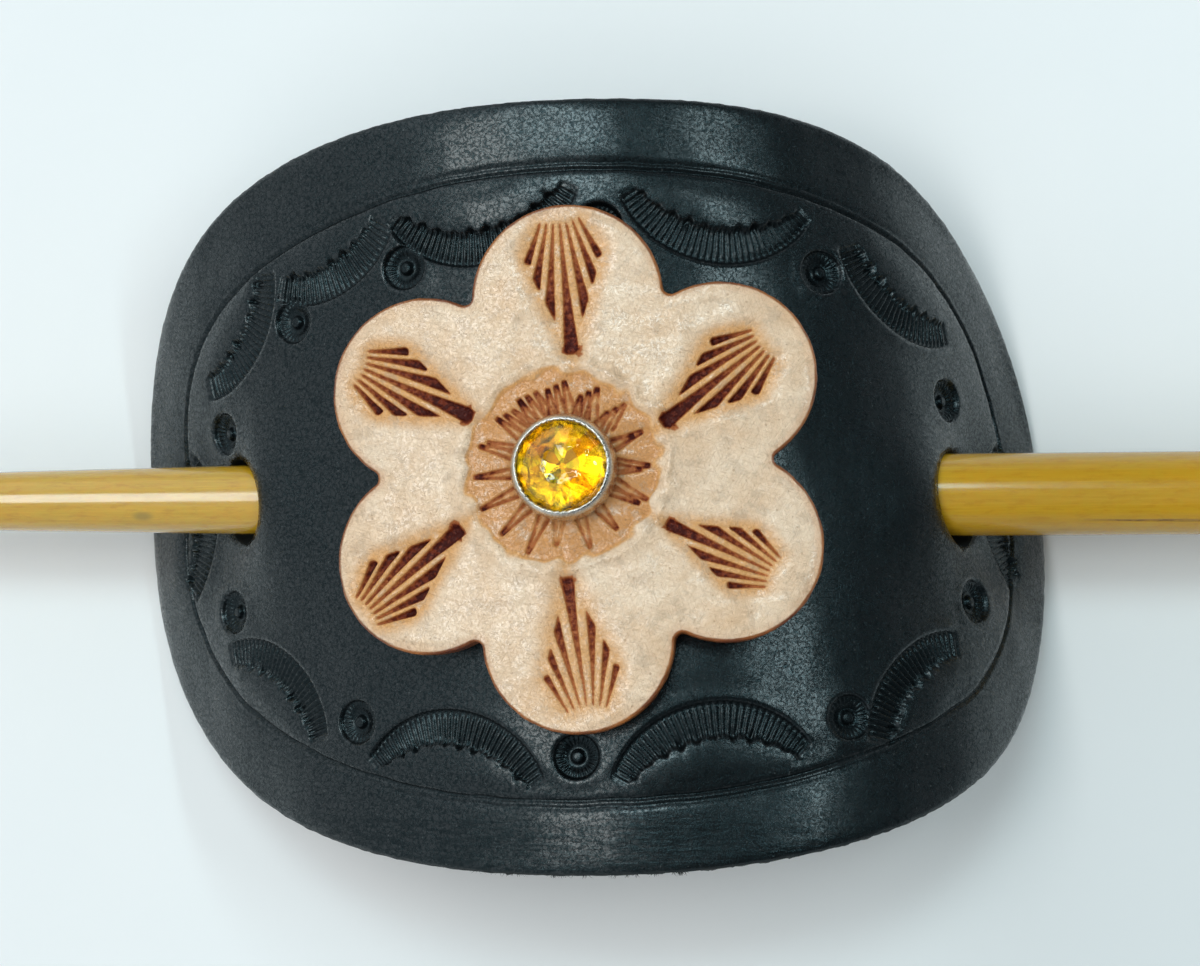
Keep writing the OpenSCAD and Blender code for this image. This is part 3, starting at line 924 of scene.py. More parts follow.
print("Face has", len(flower_flat), "points, underside", len(under_flat))

# %% Sew the flower
# The cut pressed the edge down and left a soft lip inside it
EDGE_DROP, EDGE_LIP = 0.10, 0.07


def flower_place(p, h):
    return on_rivet(bowed(p, h + FLOWER["thick"] / 2))


def flower_fray(outline, h):
    return 0.02 * waves(outline + 3 * h, 1.3, 41) + 0.012 * waves(outline - 5 * h, 0.5, 42)


height, stain, tan = flower_tooling(flower_flat)
from_edge = radius_of(flower_inset, middle)(np.arctan2(*(flower_flat - middle).T[::-1])) \
    - np.hypot(*(flower_flat - middle).T)
height *= smooth(from_edge, 0, 0.6)
height += EDGE_LIP * bell(from_edge - 0.9, 0.4) - EDGE_DROP * bell(from_edge, 0.45)
height += 0.030 * waves(flower_flat, 1.4, 51) + 0.045 * waves(flower_flat, 3.6, 52)
flower_points, flower_lay, flower_marks, flower_tris = sew_leather(
    flower_edge + middle, (flower_flat, flower_tri), (under_flat, under_tri), [flower_way],
    flower_place, FLOWER["thick"], FLOWER_ROUND, (height, np.zeros(len(under_flat))),
    flower_fray)
flower = new_piece("stamped_flower", flower_points, flower_tris)
lay_flat(flower, flower_lay)
spare = np.zeros(len(flower_points) - len(stain))
paint(flower, "side", flower_marks)
paint(flower, "stain", np.r_[stain, spare])
paint(flower, "tan", np.r_[tan, spare])
paint(flower, "from_edge", np.r_[from_edge, spare])
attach(flower, "barrette")
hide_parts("flower")
print("Flower box in mm:", flower_points.min(0).round(2), flower_points.max(0).round(2))

# %% [markdown]
# ## The setting
# The stone stands in a low nickel cup. Its wall was rolled over the stone, which left a
# thin lip with a row of small scallops. A Screw modifier could turn the profile, but the
# scallops would then need a second tool. So one profile is carried round by hand, and the
# scallops are added to the few rows that make the lip.

# %% Turn a closed form on a lathe
def turned(rows, count):
    """Points, triangles and each point's angle, of a form turned about Z.

    rows are (radius, height) from pole to pole, with radius 0 at both ends only.
    """
    angle = np.linspace(0, 2 * math.pi, count, endpoint=False)
    ring, here = polar(1.0, angle), np.arange(count)
    after = np.roll(here, -1)
    body = np.vstack([np.c_[r * ring, np.full(count, z)] for r, z in rows[1:-1]])
    points = np.vstack([body, (0, 0, rows[0][1]), (0, 0, rows[-1][1])])
    last = (len(rows) - 3) * count
    tris = [strip(here + k * count, here + (k + 1) * count)[:, ::-1]
            for k in range(len(rows) - 3)]
    tris.append(np.stack([np.full(count, len(body)), after, here], -1))
    tris.append(np.stack([np.full(count, len(body) + 1), last + here, last + after], -1))
    return points, np.vstack(tris), np.r_[np.tile(angle, len(rows) - 2), 0, 0]


print("A turned disc has", len(turned([(0, 0), (1, 0), (1, 1), (0, 1)], 8)[1]), "triangles")

# %% The cup and its scalloped lip
CUP_ROWS = [(0, 0), (4.6, 0), (4.86, 0.03), (4.96, 0.10), (5.00, 0.24), (5.00, 0.7),
            (4.98, 1.3), (4.94, 1.66), (4.87, 1.94), (4.77, 2.18), (4.66, 2.36),
            (4.55, 2.49), (4.46, 2.57), (4.38, 2.60), (4.31, 2.585), (4.25, 2.52), (4.22, 2.42),
            (4.22, 2.30), (4.24, 2.14), (4.29, 1.98), (4.30, 1.2), (4.30, 0.4), (0, 0.4)]
LIP_BOTTOM, LIP_OUT = 2.2, 4.55
SCALLOPS = 44

cup_points, cup_tris, around = turned(CUP_ROWS, SCALLOPS * 8)
cup_r = np.hypot(cup_points[:, 0], cup_points[:, 1])
on_lip = smooth(cup_points[:, 2], LIP_BOTTOM - 0.1, LIP_BOTTOM + 0.1) \
    * smooth(LIP_OUT - cup_r, 0.0, 0.25)
notch = (0.5 + 0.5 * np.cos(SCALLOPS * around)) ** 3 * (1 + 0.5 * np.sin(7 * around + 1))
pushed = 1 + (0.045 * notch + 0.02 * np.sin(5 * around) + 0.012 * np.sin(23 * around)) \
    * on_lip / np.maximum(cup_r, 1)
cup_points[:, :2] *= pushed[:, None]
cup_points[:, 2] -= 0.03 * notch * on_lip
cup_points[:, 2] += SETTING_BASE
cup = new_piece("stone_setting", on_rivet(cup_points), cup_tris)
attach(cup, "barrette")
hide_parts("setting")

# %% [markdown]
# ## The stone
# A cut stone isn't cast round: each facet is ground flat against a wheel. The same way
# works here. A short glass cylinder is cut by one plane after another. Every facet comes
# out truly flat, and the scalloped line round the girdle appears by itself.

# %% A wheel that grinds one facet
STONE_R, GIRDLE = 4.25, (1.63, 1.87)
TABLE_R, TABLE_Z = 1.9, 3.1
STAR_R, CULET_R, CULET_Z, HALF_END = 3.0, 0.3, 0.55, 1.4
EIGHTH = math.pi / 4


def grind(stone, azimuth, slope, r, z, up):
    """Cuts with a plane that faces azimuth, leans by slope, and passes r out at z."""
    lean = math.atan(slope)
    normal = Vector((math.sin(lean) * math.cos(azimuth), math.sin(lean) * math.sin(azimuth),
                     up * math.cos(lean)))
    place = Vector((r * math.cos(azimuth), r * math.sin(azimuth), z))
    whole = stone.verts[:] + stone.edges[:] + stone.faces[:]
    cut = bmesh.ops.bisect_plane(stone, geom=whole, plane_co=place, plane_no=normal,
                                 clear_outer=True)["geom_cut"]
    rim_edges = [part for part in cut if isinstance(part, bmesh.types.BMEdge)]
    if rim_edges:
        bmesh.ops.contextual_create(stone, geom=rim_edges)


def half_facet(points):
    """Slope and place of a facet that faces half way between two (r, z) points."""
    squeeze = math.cos(EIGHTH / 4)
    (r0, z0), (r1, z1) = points
    slope = (z1 - z0) / ((r0 - r1) * squeeze)
    return slope, r0 * squeeze, z0


# %% Slopes of the facets
bezel = (TABLE_Z - GIRDLE[1]) / (STONE_R - TABLE_R)
star_z = TABLE_Z - bezel * (STAR_R * math.cos(EIGHTH / 2) - TABLE_R)
table_flat = TABLE_R * math.cos(EIGHTH / 2)
star = (TABLE_Z - star_z) / (STAR_R - table_flat)
main = (GIRDLE[0] - CULET_Z) / (STONE_R - CULET_R)
half_z = CULET_Z + main * (HALF_END * math.cos(EIGHTH / 2) - CULET_R)
upper, lower = (half_facet([(STONE_R, GIRDLE[1]), (STAR_R, star_z)]),
                half_facet([(STONE_R, GIRDLE[0]), (HALF_END, half_z)]))
print("Crown facets lean", round(math.degrees(math.atan(bezel))), "degrees, the others",
      round(math.degrees(math.atan(main))))

# %% Grind every facet
cut_stone = bmesh.new()
bmesh.ops.create_cone(cut_stone, cap_ends=True, segments=96, radius1=STONE_R,
                      radius2=STONE_R, depth=2 * TABLE_Z)
bmesh.ops.translate(cut_stone, verts=cut_stone.verts[:], vec=(0, 0, TABLE_Z))
grind(cut_stone, 0, 0, 0, TABLE_Z, 1)
for k in range(8):
    grind(cut_stone, k * EIGHTH, bezel, STONE_R, GIRDLE[1], 1)
    grind(cut_stone, (k + 0.5) * EIGHTH, star, table_flat, TABLE_Z, 1)
    grind(cut_stone, k * EIGHTH, main, STONE_R, GIRDLE[0], -1)
for k in range(16):
    turn = (k + 0.5) * EIGHTH / 2
    grind(cut_stone, turn, upper[0], upper[1], upper[2], 1)
    grind(cut_stone, turn, -lower[0], lower[1], lower[2], -1)
grind(cut_stone, 0, 0, 0, CULET_Z, -1)
bmesh.ops.recalc_face_normals(cut_stone, faces=cut_stone.faces[:])
print("Facets:", len([f for f in cut_stone.faces if abs(f.normal.z) > 0.02]))

# %% Make the stone's mesh and give each facet of its foil a number for its painted brightness
PAINTED_LIGHT_SEED = 5
stone_mesh = bpy.data.meshes.new("cut_stone")
for face in cut_stone.faces:
    face.material_index = 1 if face.normal.z < -0.5 else 0
    face.smooth = abs(face.normal.z) < 0.02
places = on_rivet([(v.co.x, v.co.y, v.co.z + SETTING_BASE) for v in cut_stone.verts])
for vert, place in zip(cut_stone.verts, places * MM):
    vert.co = place
cut_stone.to_mesh(stone_mesh)
painted_facet_light = np.random.default_rng(PAINTED_LIGHT_SEED).random(len(stone_mesh.polygons))
stone_mesh.attributes.new("painted_facet_light", "FLOAT", "FACE").data.foreach_set(
    "value", painted_facet_light.astype(np.float32))
cut_stone.free()
stone = bpy.data.objects.new("cut_stone", stone_mesh)
bpy.context.scene.collection.objects.link(stone)
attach(stone, "barrette")
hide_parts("stone")
print("Stone's faces:", len(stone_mesh.polygons))

# %% [markdown]
# ## The stick
# The stick is a split of bamboo, rounded, tapered and lacquered. No hand tool leaves a
# perfect cone, so its radius wanders by less than a tenth of a millimetre, well within
# the room it has in the holes. Its left end is a round point, its right end a butt.
# The same lathe as the cup's turns it, because a row of radii is all that it needs.

# %% Profile of the stick
STICK_AROUND, STICK_WANDER = 72, 0.045
BUTT_ROUND = 0.8
half_len = STICK_LEN / 2
tip_len = STICK[0, 0] + half_len
tip = [(stick_r(STICK[0, 0]) * math.sin(t), STICK[0, 0] - tip_len * math.cos(t))
       for t in np.linspace(0.12, math.pi / 2, 14)]
shaft = [(float(stick_r(x)), x) for x in np.arange(STICK[0, 0] + 0.8, half_len - 1.2, 1.0)]
butt = [(STICK[-1, 1] / 2 - BUTT_ROUND * (1 - math.cos(t)),
         half_len - BUTT_ROUND * (1 - math.sin(t))) for t in np.linspace(0, math.pi / 2, 8)]
saw_rings = [(r, half_len) for r in (2.4, 1.2)]
stick_rows = [(0, -half_len)] + tip + shaft + butt + saw_rings + [(0, half_len)]
print("Profile has", len(stick_rows), "rows")

# %% Turn the stick and let its radius wander
stick_points, stick_tris, around = turned(stick_rows, STICK_AROUND)
run = np.c_[stick_points[:, 2], 3.5 * around]
wander = STICK_WANDER * (0.6 * waves(np.c_[run[:, 0], 0 * run[:, 0]], 26, 51)
                         + 0.4 * np.sin(2 * around + run[:, 0] / 17)
                         + 0.3 * np.sin(3 * around - run[:, 0] / 23))
wander *= smooth(np.hypot(stick_points[:, 0], stick_points[:, 1]), 1.0, 2.2) \
    * smooth(half_len - np.abs(stick_points[:, 2]), 0.3, 4)
stick_points[:, :2] *= (1 + np.clip(wander, -0.08, 0.08)
                        / np.maximum(np.hypot(*stick_points[:, :2].T), 1))[:, None]
stick_points = np.c_[stick_points[:, 2], stick_points[:, 1], STICK_Z - stick_points[:, 0]]
stick = new_piece("bamboo_stick", stick_points, stick_tris)
lay_flat(stick, run, round_it=7 * math.pi)
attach(stick, "stick")
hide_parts("stick")

# %% [markdown]
# ## Shader helpers
# Every finish below is built from nodes. A few short functions keep that readable: one
# adds a node with its inputs filled in, one lays colours over each other, one starts a
# node group. Groups hold what several finishes share, such as grain, blotches and
# scratches. They take a place in millimetres, so a grain keeps its real size on any
# piece. A photograph of leather would be quicker, but its grain is fixed and it needs
# a file of its own.

# %% Add nodes and set their inputs
def fill(tree, made, wires):
    """Sets a node's inputs to numbers or colours, or links other nodes' outputs to them."""
    for key, value in wires.items():
        if isinstance(value, bpy.types.NodeSocket):
            tree.links.new(value, made.inputs[key])
        else:
            made.inputs[key].default_value = value


def node(tree, kind, wires=None, **settings):
    made = tree.nodes.new("ShaderNode" + kind)
    for key, value in settings.items():
        setattr(made, key, value)
    fill(tree, made, wires or {})
    return made


def calc(tree, operation, *values):
    return node(tree, "Math", dict(enumerate(values)), operation=operation).outputs[0]


def times(tree, first, second):
    return calc(tree, "MULTIPLY", first, second)


def plus(tree, first, second):
    return calc(tree, "ADD", first, second)


def minus(tree, first, second):
    return calc(tree, "SUBTRACT", first, second)


def ramp(tree, value, low, high, to_low=0.0, to_high=1.0):
    """Smooth step of a value between two limits."""
    return node(tree, "MapRange", {"Value": value, "From Min": low, "From Max": high,
                                   "To Min": to_low, "To Max": to_high},
                interpolation_type="SMOOTHSTEP").outputs[0]


# %% Places, noise and colours for the nodes
def scaled(tree, vector, factor):
    return node(tree, "VectorMath", {0: vector, "Scale": factor}, operation="SCALE").outputs[0]


def flat_place(tree):
    """Place on the flat leather or round the stick, in millimetres."""
    return scaled(tree, node(tree, "UVMap", uv_map="flat").outputs[0], 100.0)


def solid_place(tree):
    """Place in the piece's own space, in millimetres, for a finish without a flat layout."""
    return scaled(tree, node(tree, "TexCoord").outputs["Object"], 1000.0)


def stretched(tree, place, x, y):
    """A place scaled unevenly, which draws out the noise on it."""
    return node(tree, "VectorMath", {0: place, 1: (x, y, 1.0)}, operation="MULTIPLY").outputs[0]


def noise(tree, place, scale, detail, roughness=0.5, distortion=0.0):
    return node(tree, "TexNoise", {"Vector": place, "Scale": scale, "Detail": detail,
                                   "Roughness": roughness, "Distortion": distortion}).outputs[0]


def painted(tree, name):
    """A number that was stored on the mesh."""
    return node(tree, "Attribute", attribute_name=name).outputs["Fac"]


def blend_colour(tree, share, first, second):
    """Mixes two colours. Each is (red, green, blue) or another node's output."""
    first, second = [colour if isinstance(colour, bpy.types.NodeSocket) else (*colour, 1.0)
                     for colour in (first, second)]
    return node(tree, "Mix", {0: share, 6: first, 7: second}, data_type="RGBA").outputs[2]


def lay_colours(tree, colour, *layers):
    """Lays colours over a first one, in turn. Each layer is (how much of it, colour)."""
    for share, layer in layers:
        colour = blend_colour(tree, share, colour, layer)
    return colour


# %% Start groups and finishes
def new_group(name, inputs, outputs):
    """Starts a group. Each input is (name, kind, default); each output (name, kind)."""
    group = bpy.data.node_groups.new(name, "ShaderNodeTree")
    for label, kind, value in inputs:
        socket = group.interface.new_socket(name=label, in_out="INPUT",
                                            socket_type="NodeSocket" + kind)
        if value is not None:
            socket.default_value = value
    for label, kind in outputs:
        group.interface.new_socket(name=label, in_out="OUTPUT",
                                   socket_type="NodeSocket" + kind)
    return group, group.nodes.new("NodeGroupInput").outputs, \
        group.nodes.new("NodeGroupOutput")


def use_group(tree, group, wires):
    return node(tree, "Group", wires, node_tree=group).outputs


def new_finish(name, **shader_values):
    """A material with a Principled shader whose constant values are set on its sockets."""
    material = bpy.data.materials.new(name)
    material.use_nodes = True
    shader = material.node_tree.nodes["Principled BSDF"]
    for key, value in shader_values.items():
        shader.inputs[key.replace("_", " ").title().replace("Ior", "IOR")].default_value = value
    return material, material.node_tree, shader


def small_relief(tree, shader, height, strength, distance):
    """Shades the surface as if it had these heights, which are too fine for the mesh."""
    bump = node(tree, "Bump", {"Height": height, "Strength": strength, "Distance": distance})
    fill(tree, shader, {"Normal": bump.outputs[0]})


# %% Group: grain of a hide
def cell_edges(tree, place, scale):
    """Distance to the nearest edge of a pattern of irregular cells."""
    return node(tree, "TexVoronoi", {"Vector": place, "Scale": scale}, voronoi_dimensions="2D",
                feature="DISTANCE_TO_EDGE")


hide_grain, grain_in, grain_out = new_group(
    "hide_grain", [("Place", "Vector", None), ("Pebble mm", "Float", 0.5)],
    [("Height", "Float"), ("Furrow", "Float"), ("Shine", "Float")])
stir = node(hide_grain, "TexNoise", {"Vector": grain_in["Place"], "Scale": 1.1, "Detail": 2.0})
stirred = node(hide_grain, "VectorMath", {0: grain_in["Place"], 1: stir.outputs["Color"]},
               operation="ADD").outputs[0]
pebble_scale = calc(hide_grain, "DIVIDE", 1.0, grain_in["Pebble mm"])
cells = cell_edges(hide_grain, stirred, pebble_scale)
cells.inputs["Randomness"].default_value = 0.9
big_cells = cell_edges(hide_grain, stirred, times(hide_grain, pebble_scale, 0.37))
pebbles = ramp(hide_grain, cells.outputs["Distance"], 0.0, 0.30)
plates = ramp(hide_grain, big_cells.outputs["Distance"], 0.0, 0.16)
wrinkled = noise(hide_grain, stirred, 3.8, 4.0, 0.65)
grain_height = plus(hide_grain, times(hide_grain, pebbles, 0.22),
                    times(hide_grain, plates, 0.18))
fill(hide_grain, grain_out, {
    "Height": plus(hide_grain, grain_height, ramp(hide_grain, wrinkled, 0.40, 0.52, 0.0, 0.50)),
    "Furrow": minus(hide_grain, 1.0, pebbles),
    "Shine": times(hide_grain, ramp(hide_grain, wrinkled, 0.42, 0.56, 0.15, 1.0),
                   ramp(hide_grain, plates, 0.0, 1.0, 0.4, 1.0))})

# %% Group: blotches, large and small
blotches, blot_in, blot_out = new_group(
    "blotches", [("Place", "Vector", None), ("Size mm", "Float", 8.0)],
    [("Broad", "Float"), ("Fine", "Float")])
blot_scale = calc(blotches, "DIVIDE", 1.0, blot_in["Size mm"])
broad = noise(blotches, blot_in["Place"], blot_scale, 3.0, 0.55)
fine = noise(blotches, blot_in["Place"], times(blotches, blot_scale, 9.0), 4.0, 0.65)
fill(blotches, blot_out, {"Broad": ramp(blotches, broad, 0.32, 0.68),
                          "Fine": ramp(blotches, fine, 0.30, 0.70)})

# %% Group: specks, and fine scratches
def cell_points(tree, place, scale):
    """Distance to the middle of the nearest of many irregular cells, and its colour."""
    return node(tree, "TexVoronoi", {"Vector": place, "Scale": scale},
                voronoi_dimensions="2D", feature="F1").outputs


specks, speck_in, speck_out = new_group(
    "specks", [("Place", "Vector", None), ("Spacing mm", "Float", 1.5),
               ("Size", "Float", 0.12)], [("Mask", "Float")])
dots = cell_points(specks, speck_in["Place"],
                   calc(specks, "DIVIDE", 1.0, speck_in["Spacing mm"]))
chance = node(specks, "SeparateColor", {0: dots["Color"]}).outputs[0]
near = minus(specks, times(specks, chance, speck_in["Size"]), dots["Distance"])
fill(specks, speck_out, {"Mask": ramp(specks, near, 0.0, 0.03)})

SCRATCH_WAYS = ((25, 22), (-50, 16), (80, 26))
scratches, scratch_in, scratch_out = new_group(
    "scratches", [("Place", "Vector", None), ("Spacing mm", "Float", 3.0)],
    [("Mask", "Float")])
found = None
for turn_deg, stretch in SCRATCH_WAYS:
    turned_place = node(scratches, "VectorRotate", {"Vector": scratch_in["Place"],
                                                    "Angle": math.radians(turn_deg)},
                        rotation_type="Z_AXIS").outputs[0]
    streaks = cell_points(scratches, stretched(scratches, turned_place, 1.0, stretch),
                          calc(scratches, "DIVIDE", 1.0, scratch_in["Spacing mm"]))["Distance"]
    line = ramp(scratches, streaks, 0.22, 0.10)
    found = line if found is None else calc(scratches, "MAXIMUM", found, line)
fill(scratches, scratch_out, {"Mask": found})
print("Groups:", [g.name for g in bpy.data.node_groups])

# %% [markdown]
# ## Black leather
# The plate was dyed right through and finished with a thin wax. The face is nearly black,
# and its pebbled grain shows only where a light glances off it. One gloss for the whole
# face would turn it grey there. So the wax is the shader's coat, and its weight follows
# the tops of the grain: a light breaks up into small bright specks, and the furrows
# between them stay dark. Cut edges are matt and a shade paler, and the back is raw suede.

# %% What the plate's finish reads from the mesh
def sides_of(tree, begin=0.9, full=0.35):
    """Masks of the cut edge and of the back, from the number stored on each point."""
    side = painted(tree, "side")
    away = calc(tree, "ABSOLUTE", minus(tree, side, 1.0))
    return ramp(tree, away, begin, full), ramp(tree, side, 1.4, 1.9)


black, tree, shader = new_finish("black_leather", specular_ior_level=0.24,
                                 specular_tint=(0.55, 0.90, 1.0, 1), coat_ior=1.47,
                                 coat_roughness=0.26)
place = flat_place(tree)
edge, back = sides_of(tree)
matt = calc(tree, "MAXIMUM", edge, back)
pressed_mark = painted(tree, "pressed")
grain = use_group(tree, hide_grain, {"Place": place, "Pebble mm": 0.27})
tone = use_group(tree, blotches, {"Place": place, "Size mm": 13.0})
dust = use_group(tree, specks, {"Place": place, "Spacing mm": 1.3, "Size": 0.08})
marks = use_group(tree, scratches, {"Place": place, "Spacing mm": 5.0})
# Fine creases run along the bottom rim, where the leather was bent by hand
down = node(tree, "SeparateXYZ", {0: place}).outputs[1]
creased = times(tree, noise(tree, stretched(tree, place, 0.5, 2.3), 1.0, 3.0, distortion=0.4),
                ramp(tree, down, -29.0, -32.5))
print("Groups in the black leather:", [n.node_tree.name for n in tree.nodes if n.type == "GROUP"])

# %% Colour of the plate
suede = blend_colour(tree, tone["Fine"], (0.018, 0.018, 0.019), (0.045, 0.044, 0.044))
cut_leather = blend_colour(tree, tone["Fine"], (0.006, 0.007, 0.008), (0.020, 0.020, 0.019))
colour = lay_colours(
    tree, (0.0012, 0.0019, 0.0024),
    (tone["Broad"], (0.0022, 0.0034, 0.0041)),
    (times(tree, tone["Fine"], 0.4), (0.0050, 0.0068, 0.0077)),
    # Painted shade: the stamped hollows and the creased line are painted darker than the plain
    # face
    (times(tree, pressed_mark, 0.7), (0.0014, 0.0020, 0.0025)),
    (times(tree, dust["Mask"], 0.4), (0.08, 0.09, 0.09)),
    (edge, cut_leather),
    (back, suede))
fill(tree, shader, {"Base Color": colour})
print("Its Base Color comes from a", colour.node.type, "node")

# %% Wax and relief of the plate
rough = plus(tree, ramp(tree, tone["Broad"], 0.0, 1.0, 0.28, 0.22),
             times(tree, grain["Furrow"], 0.06))
rough = minus(tree, rough, times(tree, marks["Mask"], 0.05))
wax = times(tree, grain["Shine"], times(
    tree, ramp(tree, pressed_mark, 0.0, 1.0, 1.0, 0.30), minus(tree, 1.0, matt)))
fill(tree, shader, {"Roughness": calc(tree, "MAXIMUM", rough, times(tree, matt, 0.72)),
                    "Coat Weight": times(tree, wax, ramp(tree, creased, 0.44, 0.58, 1.0, 0.45))})
height = times(tree, grain["Height"], minus(tree, 1.0, times(tree, pressed_mark, 0.5)))
height = minus(tree, height, times(tree, marks["Mask"], 0.2))
height = plus(tree, height, times(tree, creased, 6.0))
height = plus(tree, height, times(tree, times(tree, matt, tone["Fine"]), 1.2))
small_relief(tree, shader, height, strength=0.9, distance=0.000020)
plate.data.materials.append(black)
fibres.data.materials.append(black)
print("Black leather has", len(tree.nodes), "nodes")

# %% [markdown]
# ## Natural leather
# Vegetable-tanned leather starts out pale and takes up whatever touches it. The dressing
# darkened the dips to tan, and the brown stain stayed in the flutes and wedges. The cut
# edge was rubbed with a stick until it turned smooth and red-brown. Here too the polish is
# a coat on the tops of the grain, and the stain has none.

# %% What the flower's finish reads from the mesh
natural, tree, shader = new_finish("natural_leather", specular_ior_level=0.2,
                                   coat_roughness=0.24, coat_ior=1.6)
place = flat_place(tree)
edge, back = sides_of(tree, 0.96, 0.68)
stain_mark, tan_mark, near_edge = [painted(tree, n) for n in ("stain", "tan", "from_edge")]
grain = use_group(tree, hide_grain, {"Place": place, "Pebble mm": 0.3})
tone = use_group(tree, blotches, {"Place": place, "Size mm": 5.0})
wide_tone = use_group(tree, blotches, {"Place": place, "Size mm": 16.0})
spots = use_group(tree, specks, {"Place": place, "Spacing mm": 1.7, "Size": 0.09})
marks = use_group(tree, scratches, {"Place": place, "Spacing mm": 4.5})
print("Groups in the natural leather:",
      [n.node_tree.name for n in tree.nodes if n.type == "GROUP"])

# %% Colour of the flower, from the hide to the stain
dressed = times(tree, tan_mark, ramp(tree, tone["Fine"], 0.0, 0.9, 0.9, 1.05))
thin_stain = times(tree, stain_mark, ramp(tree, tone["Fine"], 0.1, 0.9, 0.75, 1.15))
handled = times(tree, ramp(tree, near_edge, 0.9, 0.0, 0.0, 0.5), wide_tone["Broad"])
burnished = blend_colour(tree, tone["Broad"], (0.380, 0.130, 0.030), (0.170, 0.042, 0.013))
colour = lay_colours(
    tree, (0.720, 0.475, 0.285),
    (tone["Broad"], (0.825, 0.630, 0.450)),
    (times(tree, wide_tone["Broad"], 0.45), (0.875, 0.740, 0.590)),
    (times(tree, tone["Fine"], 0.30), (0.650, 0.430, 0.250)),
    (ramp(tree, dressed, 0.0, 0.6), (0.660, 0.335, 0.118)),
    (ramp(tree, dressed, 0.60, 0.95), (0.580, 0.270, 0.090)),
    (times(tree, spots["Mask"], 0.4), (0.360, 0.190, 0.100)),
    (times(tree, marks["Mask"], 0.15), (0.480, 0.290, 0.160)),
    (ramp(tree, wide_tone["Fine"], 0.60, 0.90, 0.0, 0.35), (0.470, 0.340, 0.230)),
    (ramp(tree, thin_stain, 0.06, 0.30), (0.380, 0.120, 0.036)),
    (ramp(tree, thin_stain, 0.32, 0.62), (0.175, 0.028, 0.009)),
    (ramp(tree, thin_stain, 0.52, 0.86), (0.050, 0.004, 0.002)),
    (handled, (0.600, 0.330, 0.180)),
    (edge, burnished),
    (back, (0.42, 0.28, 0.17)))
fill(tree, shader, {"Base Color": colour})
print("Its Base Color comes from a", colour.node.type, "node")

# %% Polish and relief of the flower
polish = times(tree, times(tree, grain["Shine"],
                           ramp(tree, wide_tone["Fine"], 0.2, 0.8, 0.5, 1.0)),
               minus(tree, 1.0, ramp(tree, stain_mark, 0.0, 0.3)))
rough = calc(tree, "MAXIMUM", ramp(tree, tone["Fine"], 0.0, 1.0, 0.40, 0.55),
             times(tree, back, 0.9))
fill(tree, shader, {"Coat Weight": polish, "Roughness": rough})
height = minus(tree, grain["Height"], times(tree, spots["Mask"], 0.5))
height = minus(tree, height, times(tree, marks["Mask"], 0.4))
puckers = noise(tree, place, 1.1, 3.0, 0.55)
height = plus(tree, times(tree, height, 0.7), times(tree, puckers, 4.0))
small_relief(tree, shader, height, strength=0.9, distance=0.00009)
flower.data.materials.append(natural)
print("Natural leather has", len(tree.nodes), "nodes")

# %% [markdown]
# ## Nickel, glass and foil
# Nickel is a plain metal, so its colour and roughness do the work: fine scratches, and
# patches of duller metal. The stone is clear amber glass with a foil behind it. Glass
# alone would show the dark cup through its back. So the back facets have a second
# material, a gold mirror, and each facet of it is painted a brightness of its own:
# painted reflections, some bright, some dark.

# %% Finish of the setting and of the rivet
nickel, tree, shader = new_finish("nickel", metallic=1.0)
place = solid_place(tree)
tone = use_group(tree, blotches, {"Place": place, "Size mm": 1.6})
marks = use_group(tree, scratches, {"Place": place, "Spacing mm": 1.6})
colour = lay_colours(tree, (0.50, 0.475, 0.420),
                     (tone["Broad"], (0.74, 0.70, 0.63)),
                     (times(tree, marks["Mask"], 0.4), (0.86, 0.82, 0.74)))
fill(tree, shader, {"Base Color": colour,
                    "Roughness": ramp(tree, tone["Fine"], 0.0, 1.0, 0.16, 0.30)})
small_relief(tree, shader, plus(tree, times(tree, marks["Mask"], -0.6), tone["Fine"]),
             strength=0.35, distance=0.00002)
cup.data.materials.append(nickel)
rivet_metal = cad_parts["rivet"].data.materials
rivet_metal.clear()
rivet_metal.append(nickel)
print("Nickel is on", cup.name, "and on the rivet")

# %% Glass of the stone
glass, tree, shader = new_finish("amber_glass", metallic=0.0, ior=1.58,
                                 transmission_weight=1.0)
place = solid_place(tree)
tone = use_group(tree, blotches, {"Place": place, "Size mm": 2.5})
fill(tree, shader, {
    "Base Color": blend_colour(tree, tone["Broad"], (1.0, 0.78, 0.03), (1.0, 0.85, 0.06)),
    "Roughness": ramp(tree, tone["Fine"], 0.0, 1.0, 0.0, 0.02)})
ripple = noise(tree, place, 0.5, 1.0)
small_relief(tree, shader, ramp(tree, ripple, 0.54, 0.76), strength=1.0, distance=0.00012)
print("Glass bends light by", shader.inputs["IOR"].default_value)

# %% Foil behind the stone
foil, tree, shader = new_finish("gold_foil", metallic=1.0)
facet = painted(tree, "painted_facet_light")
place = solid_place(tree)
tone = use_group(tree, blotches, {"Place": place, "Size mm": 0.8})
# Each facet's number sets its painted brightness, a painted reflection
colour = lay_colours(tree, (0.60, 0.33, 0.08),
                     (ramp(tree, facet, 0.15, 0.45), (0.95, 0.70, 0.28)),
                     (ramp(tree, facet, 0.60, 0.85), (1.0, 0.92, 0.55)),
                     (times(tree, tone["Broad"], 0.3), (0.8, 0.5, 0.15)))
fill(tree, shader, {"Base Color": colour,
                    "Roughness": ramp(tree, tone["Fine"], 0.0, 1.0, 0.12, 0.26)})
dents = node(tree, "TexVoronoi", {"Vector": place, "Scale": 0.42}, feature="F1")
small_relief(tree, shader, dents.outputs["Distance"], strength=1.0, distance=0.00012)
stone.data.materials.append(glass)
stone.data.materials.append(foil)
print("The stone has", len(stone.data.materials), "finishes, glass and foil")

